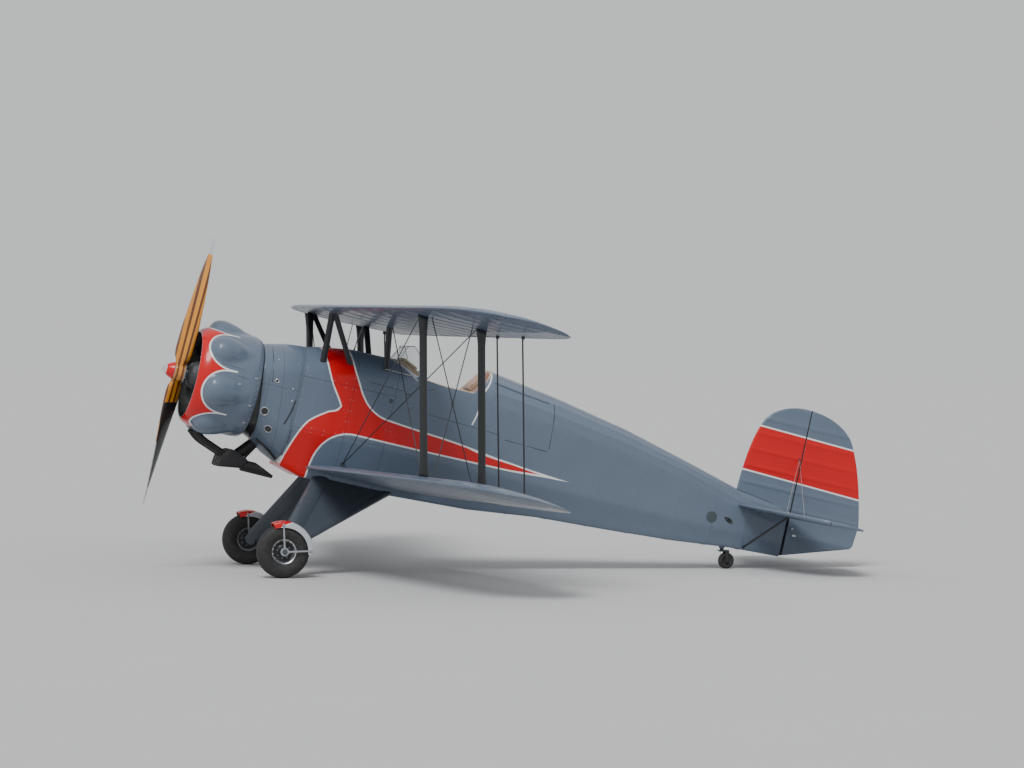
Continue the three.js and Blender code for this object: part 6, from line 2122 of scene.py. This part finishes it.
def stage():
    """A pale floor that runs out into an equally pale surround, and one very soft light."""
    corners = [(x * FLOOR_HALF, y * FLOOR_HALF, 0) for x, y in ((-1, -1), (1, -1), (1, 1), (-1, 1))]
    floor = as_object("floor", corners, [(0, 1, 2, 3)])
    floor.data.materials.append(finish("floor"))
    scene = bpy.context.scene
    world = bpy.data.worlds.new("studio_air")
    world.use_nodes = True
    background = world.node_tree.nodes["Background"]
    background.inputs["Color"].default_value = (0.97, 0.985, 1.0, 1.0)
    background.inputs["Strength"].default_value = AIR
    scene.world = world
    light = bpy.data.objects.new("soft_light", bpy.data.lights.new("soft_light", "SUN"))
    way = Vector(LIGHT_FROM).normalized()
    light.data.angle = math.radians(24)
    light.data.energy = AIR * (1 / FLOOR_TONE - 1) * math.pi / way.z
    light.rotation_euler = way.to_track_quat("Z", "Y").to_euler()
    scene.collection.objects.link(light)
    camera = bpy.data.objects.new("camera", bpy.data.cameras.new("camera"))
    forward, right = Vector(CAMERA["forward"]).normalized(), Vector(CAMERA["right"]).normalized()
    right = (right - forward * right.dot(forward)).normalized()
    turn = Matrix((right, right.cross(forward), -forward)).transposed()
    camera.matrix_world = Matrix.Translation(CAMERA["at"]) @ turn.to_4x4()
    camera.data.lens, camera.data.sensor_width = CAMERA["lens"], 36.0
    camera.data.clip_end = 500.0
    scene.collection.objects.link(camera)
    scene.camera = camera


# The add-on

class BiplaneSizes(bpy.types.PropertyGroup):
    """Sizes that a user may change."""

    edging: FloatProperty(name="White edging", description="Width of the white lines round the red", default=0.013,
                          min=0.0, max=0.1, unit="LENGTH")
    lamination: FloatProperty(name="Lamination", description="Thickness of one board in the propeller", default=0.042,
                              min=0.004, max=0.1, unit="LENGTH")
    cap_turn: FloatProperty(name="Mudguard cap", description="Angle above aft where a mudguard's red cap starts",
                            default=86.0, min=0.0, max=180.0)
    fins: IntProperty(name="Cylinder fins", description="Cooling fins on each cylinder", default=14, min=2, max=40)


class BiplaneColours(bpy.types.PropertyGroup):
    """Colours that a user may change."""

    grey: FloatVectorProperty(name="Grey", description="The airframe's paint", subtype="COLOR", size=3,
                              default=(0.120, 0.158, 0.215), min=0, max=1)
    red: FloatVectorProperty(name="Red", description="The flash, cowl ring and tail band", subtype="COLOR", size=3,
                             default=(0.60, 0.002, 0.004), min=0, max=1)
    white: FloatVectorProperty(name="White", description="The edging round the red", subtype="COLOR", size=3,
                               default=(0.8, 0.8, 0.8), min=0, max=1)
    silver: FloatVectorProperty(name="Silver", description="The ailerons' dope", subtype="COLOR", size=3,
                                default=(0.52, 0.55, 0.59), min=0, max=1)
    black: FloatVectorProperty(name="Black", description="Struts and fittings", subtype="COLOR", size=3,
                               default=(0.014, 0.015, 0.018), min=0, max=1)
    # Leg grey is the body's blue-grey darkened as painted shade.
    leg: FloatVectorProperty(name="Leg grey", description="The undercarriage legs' paint", subtype="COLOR", size=3,
                             default=(0.055, 0.068, 0.085), min=0, max=1)
    rubber: FloatVectorProperty(name="Rubber", description="The tyres", subtype="COLOR", size=3,
                                default=(0.018, 0.018, 0.019), min=0, max=1)


class BIPLANE_OT_body(bpy.types.Operator):
    """Front fuselage, cockpit shell and rear fuselage"""

    bl_idname, bl_label = "biplane.body", "Body"

    def execute(self, context):
        front_fuselage()
        cockpit_shell()
        rear_fuselage()
        body_fittings()
        return {"FINISHED"}


class BIPLANE_OT_engine_bay(bpy.types.Operator):
    """Blistered engine cowl and the panels behind it"""

    bl_idname, bl_label = "biplane.engine_bay", "Engine bay"

    def execute(self, context):
        engine_cowl()
        accessory_cowl()
        return {"FINISHED"}


class BIPLANE_OT_engine(bpy.types.Operator):
    """Radial engine and its exhaust"""

    bl_idname, bl_label = "biplane.engine", "Engine and exhaust"

    def execute(self, context):
        engine()
        exhaust()
        return {"FINISHED"}


class BIPLANE_OT_propeller(bpy.types.Operator):
    """Laminated propeller, its hub and the spinner"""

    bl_idname, bl_label = "biplane.propeller", "Propeller"

    def execute(self, context):
        propeller()
        return {"FINISHED"}


class BIPLANE_OT_wings(bpy.types.Operator):
    """Wing panels and ailerons"""

    bl_idname, bl_label = "biplane.wings", "Wings"

    def execute(self, context):
        wings()
        return {"FINISHED"}


class BIPLANE_OT_struts(bpy.types.Operator):
    """Struts, aileron rods and stays"""

    bl_idname, bl_label = "biplane.struts", "Struts and stays"

    def execute(self, context):
        struts()
        return {"FINISHED"}


class BIPLANE_OT_tail(bpy.types.Operator):
    """Fin, rudder, tailplane and elevators"""

    bl_idname, bl_label = "biplane.tail", "Tail"

    def execute(self, context):
        tail()
        tail_fittings()
        return {"FINISHED"}


class BIPLANE_OT_undercarriage(bpy.types.Operator):
    """Legs, wheels, mudguards and tailwheel"""

    bl_idname, bl_label = "biplane.undercarriage", "Undercarriage"

    def execute(self, context):
        undercarriage()
        tailwheel()
        return {"FINISHED"}


class BIPLANE_OT_cockpit(bpy.types.Operator):
    """Windscreen, panel, seat and stick"""

    bl_idname, bl_label = "biplane.cockpit", "Cockpit"

    def execute(self, context):
        cockpit()
        return {"FINISHED"}


class BIPLANE_OT_pads(bpy.types.Operator):
    """Leather coaming roll and canvas headrest"""

    bl_idname, bl_label = "biplane.pads", "Pads"

    def execute(self, context):
        pads()
        return {"FINISHED"}


class BIPLANE_OT_stage(bpy.types.Operator):
    """Floor, lights and camera"""

    bl_idname, bl_label = "biplane.stage", "Stage"

    def execute(self, context):
        stage()
        return {"FINISHED"}


STEPS = (
    BIPLANE_OT_stage, BIPLANE_OT_body, BIPLANE_OT_engine_bay, BIPLANE_OT_engine, BIPLANE_OT_propeller, BIPLANE_OT_wings,
    BIPLANE_OT_struts, BIPLANE_OT_tail, BIPLANE_OT_undercarriage, BIPLANE_OT_cockpit, BIPLANE_OT_pads,
)


class BIPLANE_PT_panel(bpy.types.Panel):
    """The biplane's pieces, sizes and colours"""

    bl_idname, bl_label = "BIPLANE_PT_panel", "Biplane"
    bl_space_type, bl_region_type, bl_category = "VIEW_3D", "UI", "Biplane"

    def draw(self, context):
        for group in (context.scene.biplane_sizes, context.scene.biplane_colours):
            for name in group.bl_rna.properties.keys():
                if name not in ("rna_type", "name"):
                    self.layout.prop(group, name)
        for step in STEPS:
            self.layout.operator(step.bl_idname)


CLASSES = (BiplaneSizes, BiplaneColours, *STEPS, BIPLANE_PT_panel)


def register():
    for made in CLASSES:
        bpy.utils.register_class(made)
    bpy.types.Scene.biplane_sizes = PointerProperty(type=BiplaneSizes)
    bpy.types.Scene.biplane_colours = PointerProperty(type=BiplaneColours)


def unregister():
    del bpy.types.Scene.biplane_sizes, bpy.types.Scene.biplane_colours
    for made in reversed(CLASSES):
        bpy.utils.unregister_class(made)


def main():
    register()
    for step in STEPS:
        group, name = step.bl_idname.split(".")
        getattr(getattr(bpy.ops, group), name)()
    bpy.context.view_layer.update()


if __name__ == "__main__":
    main()
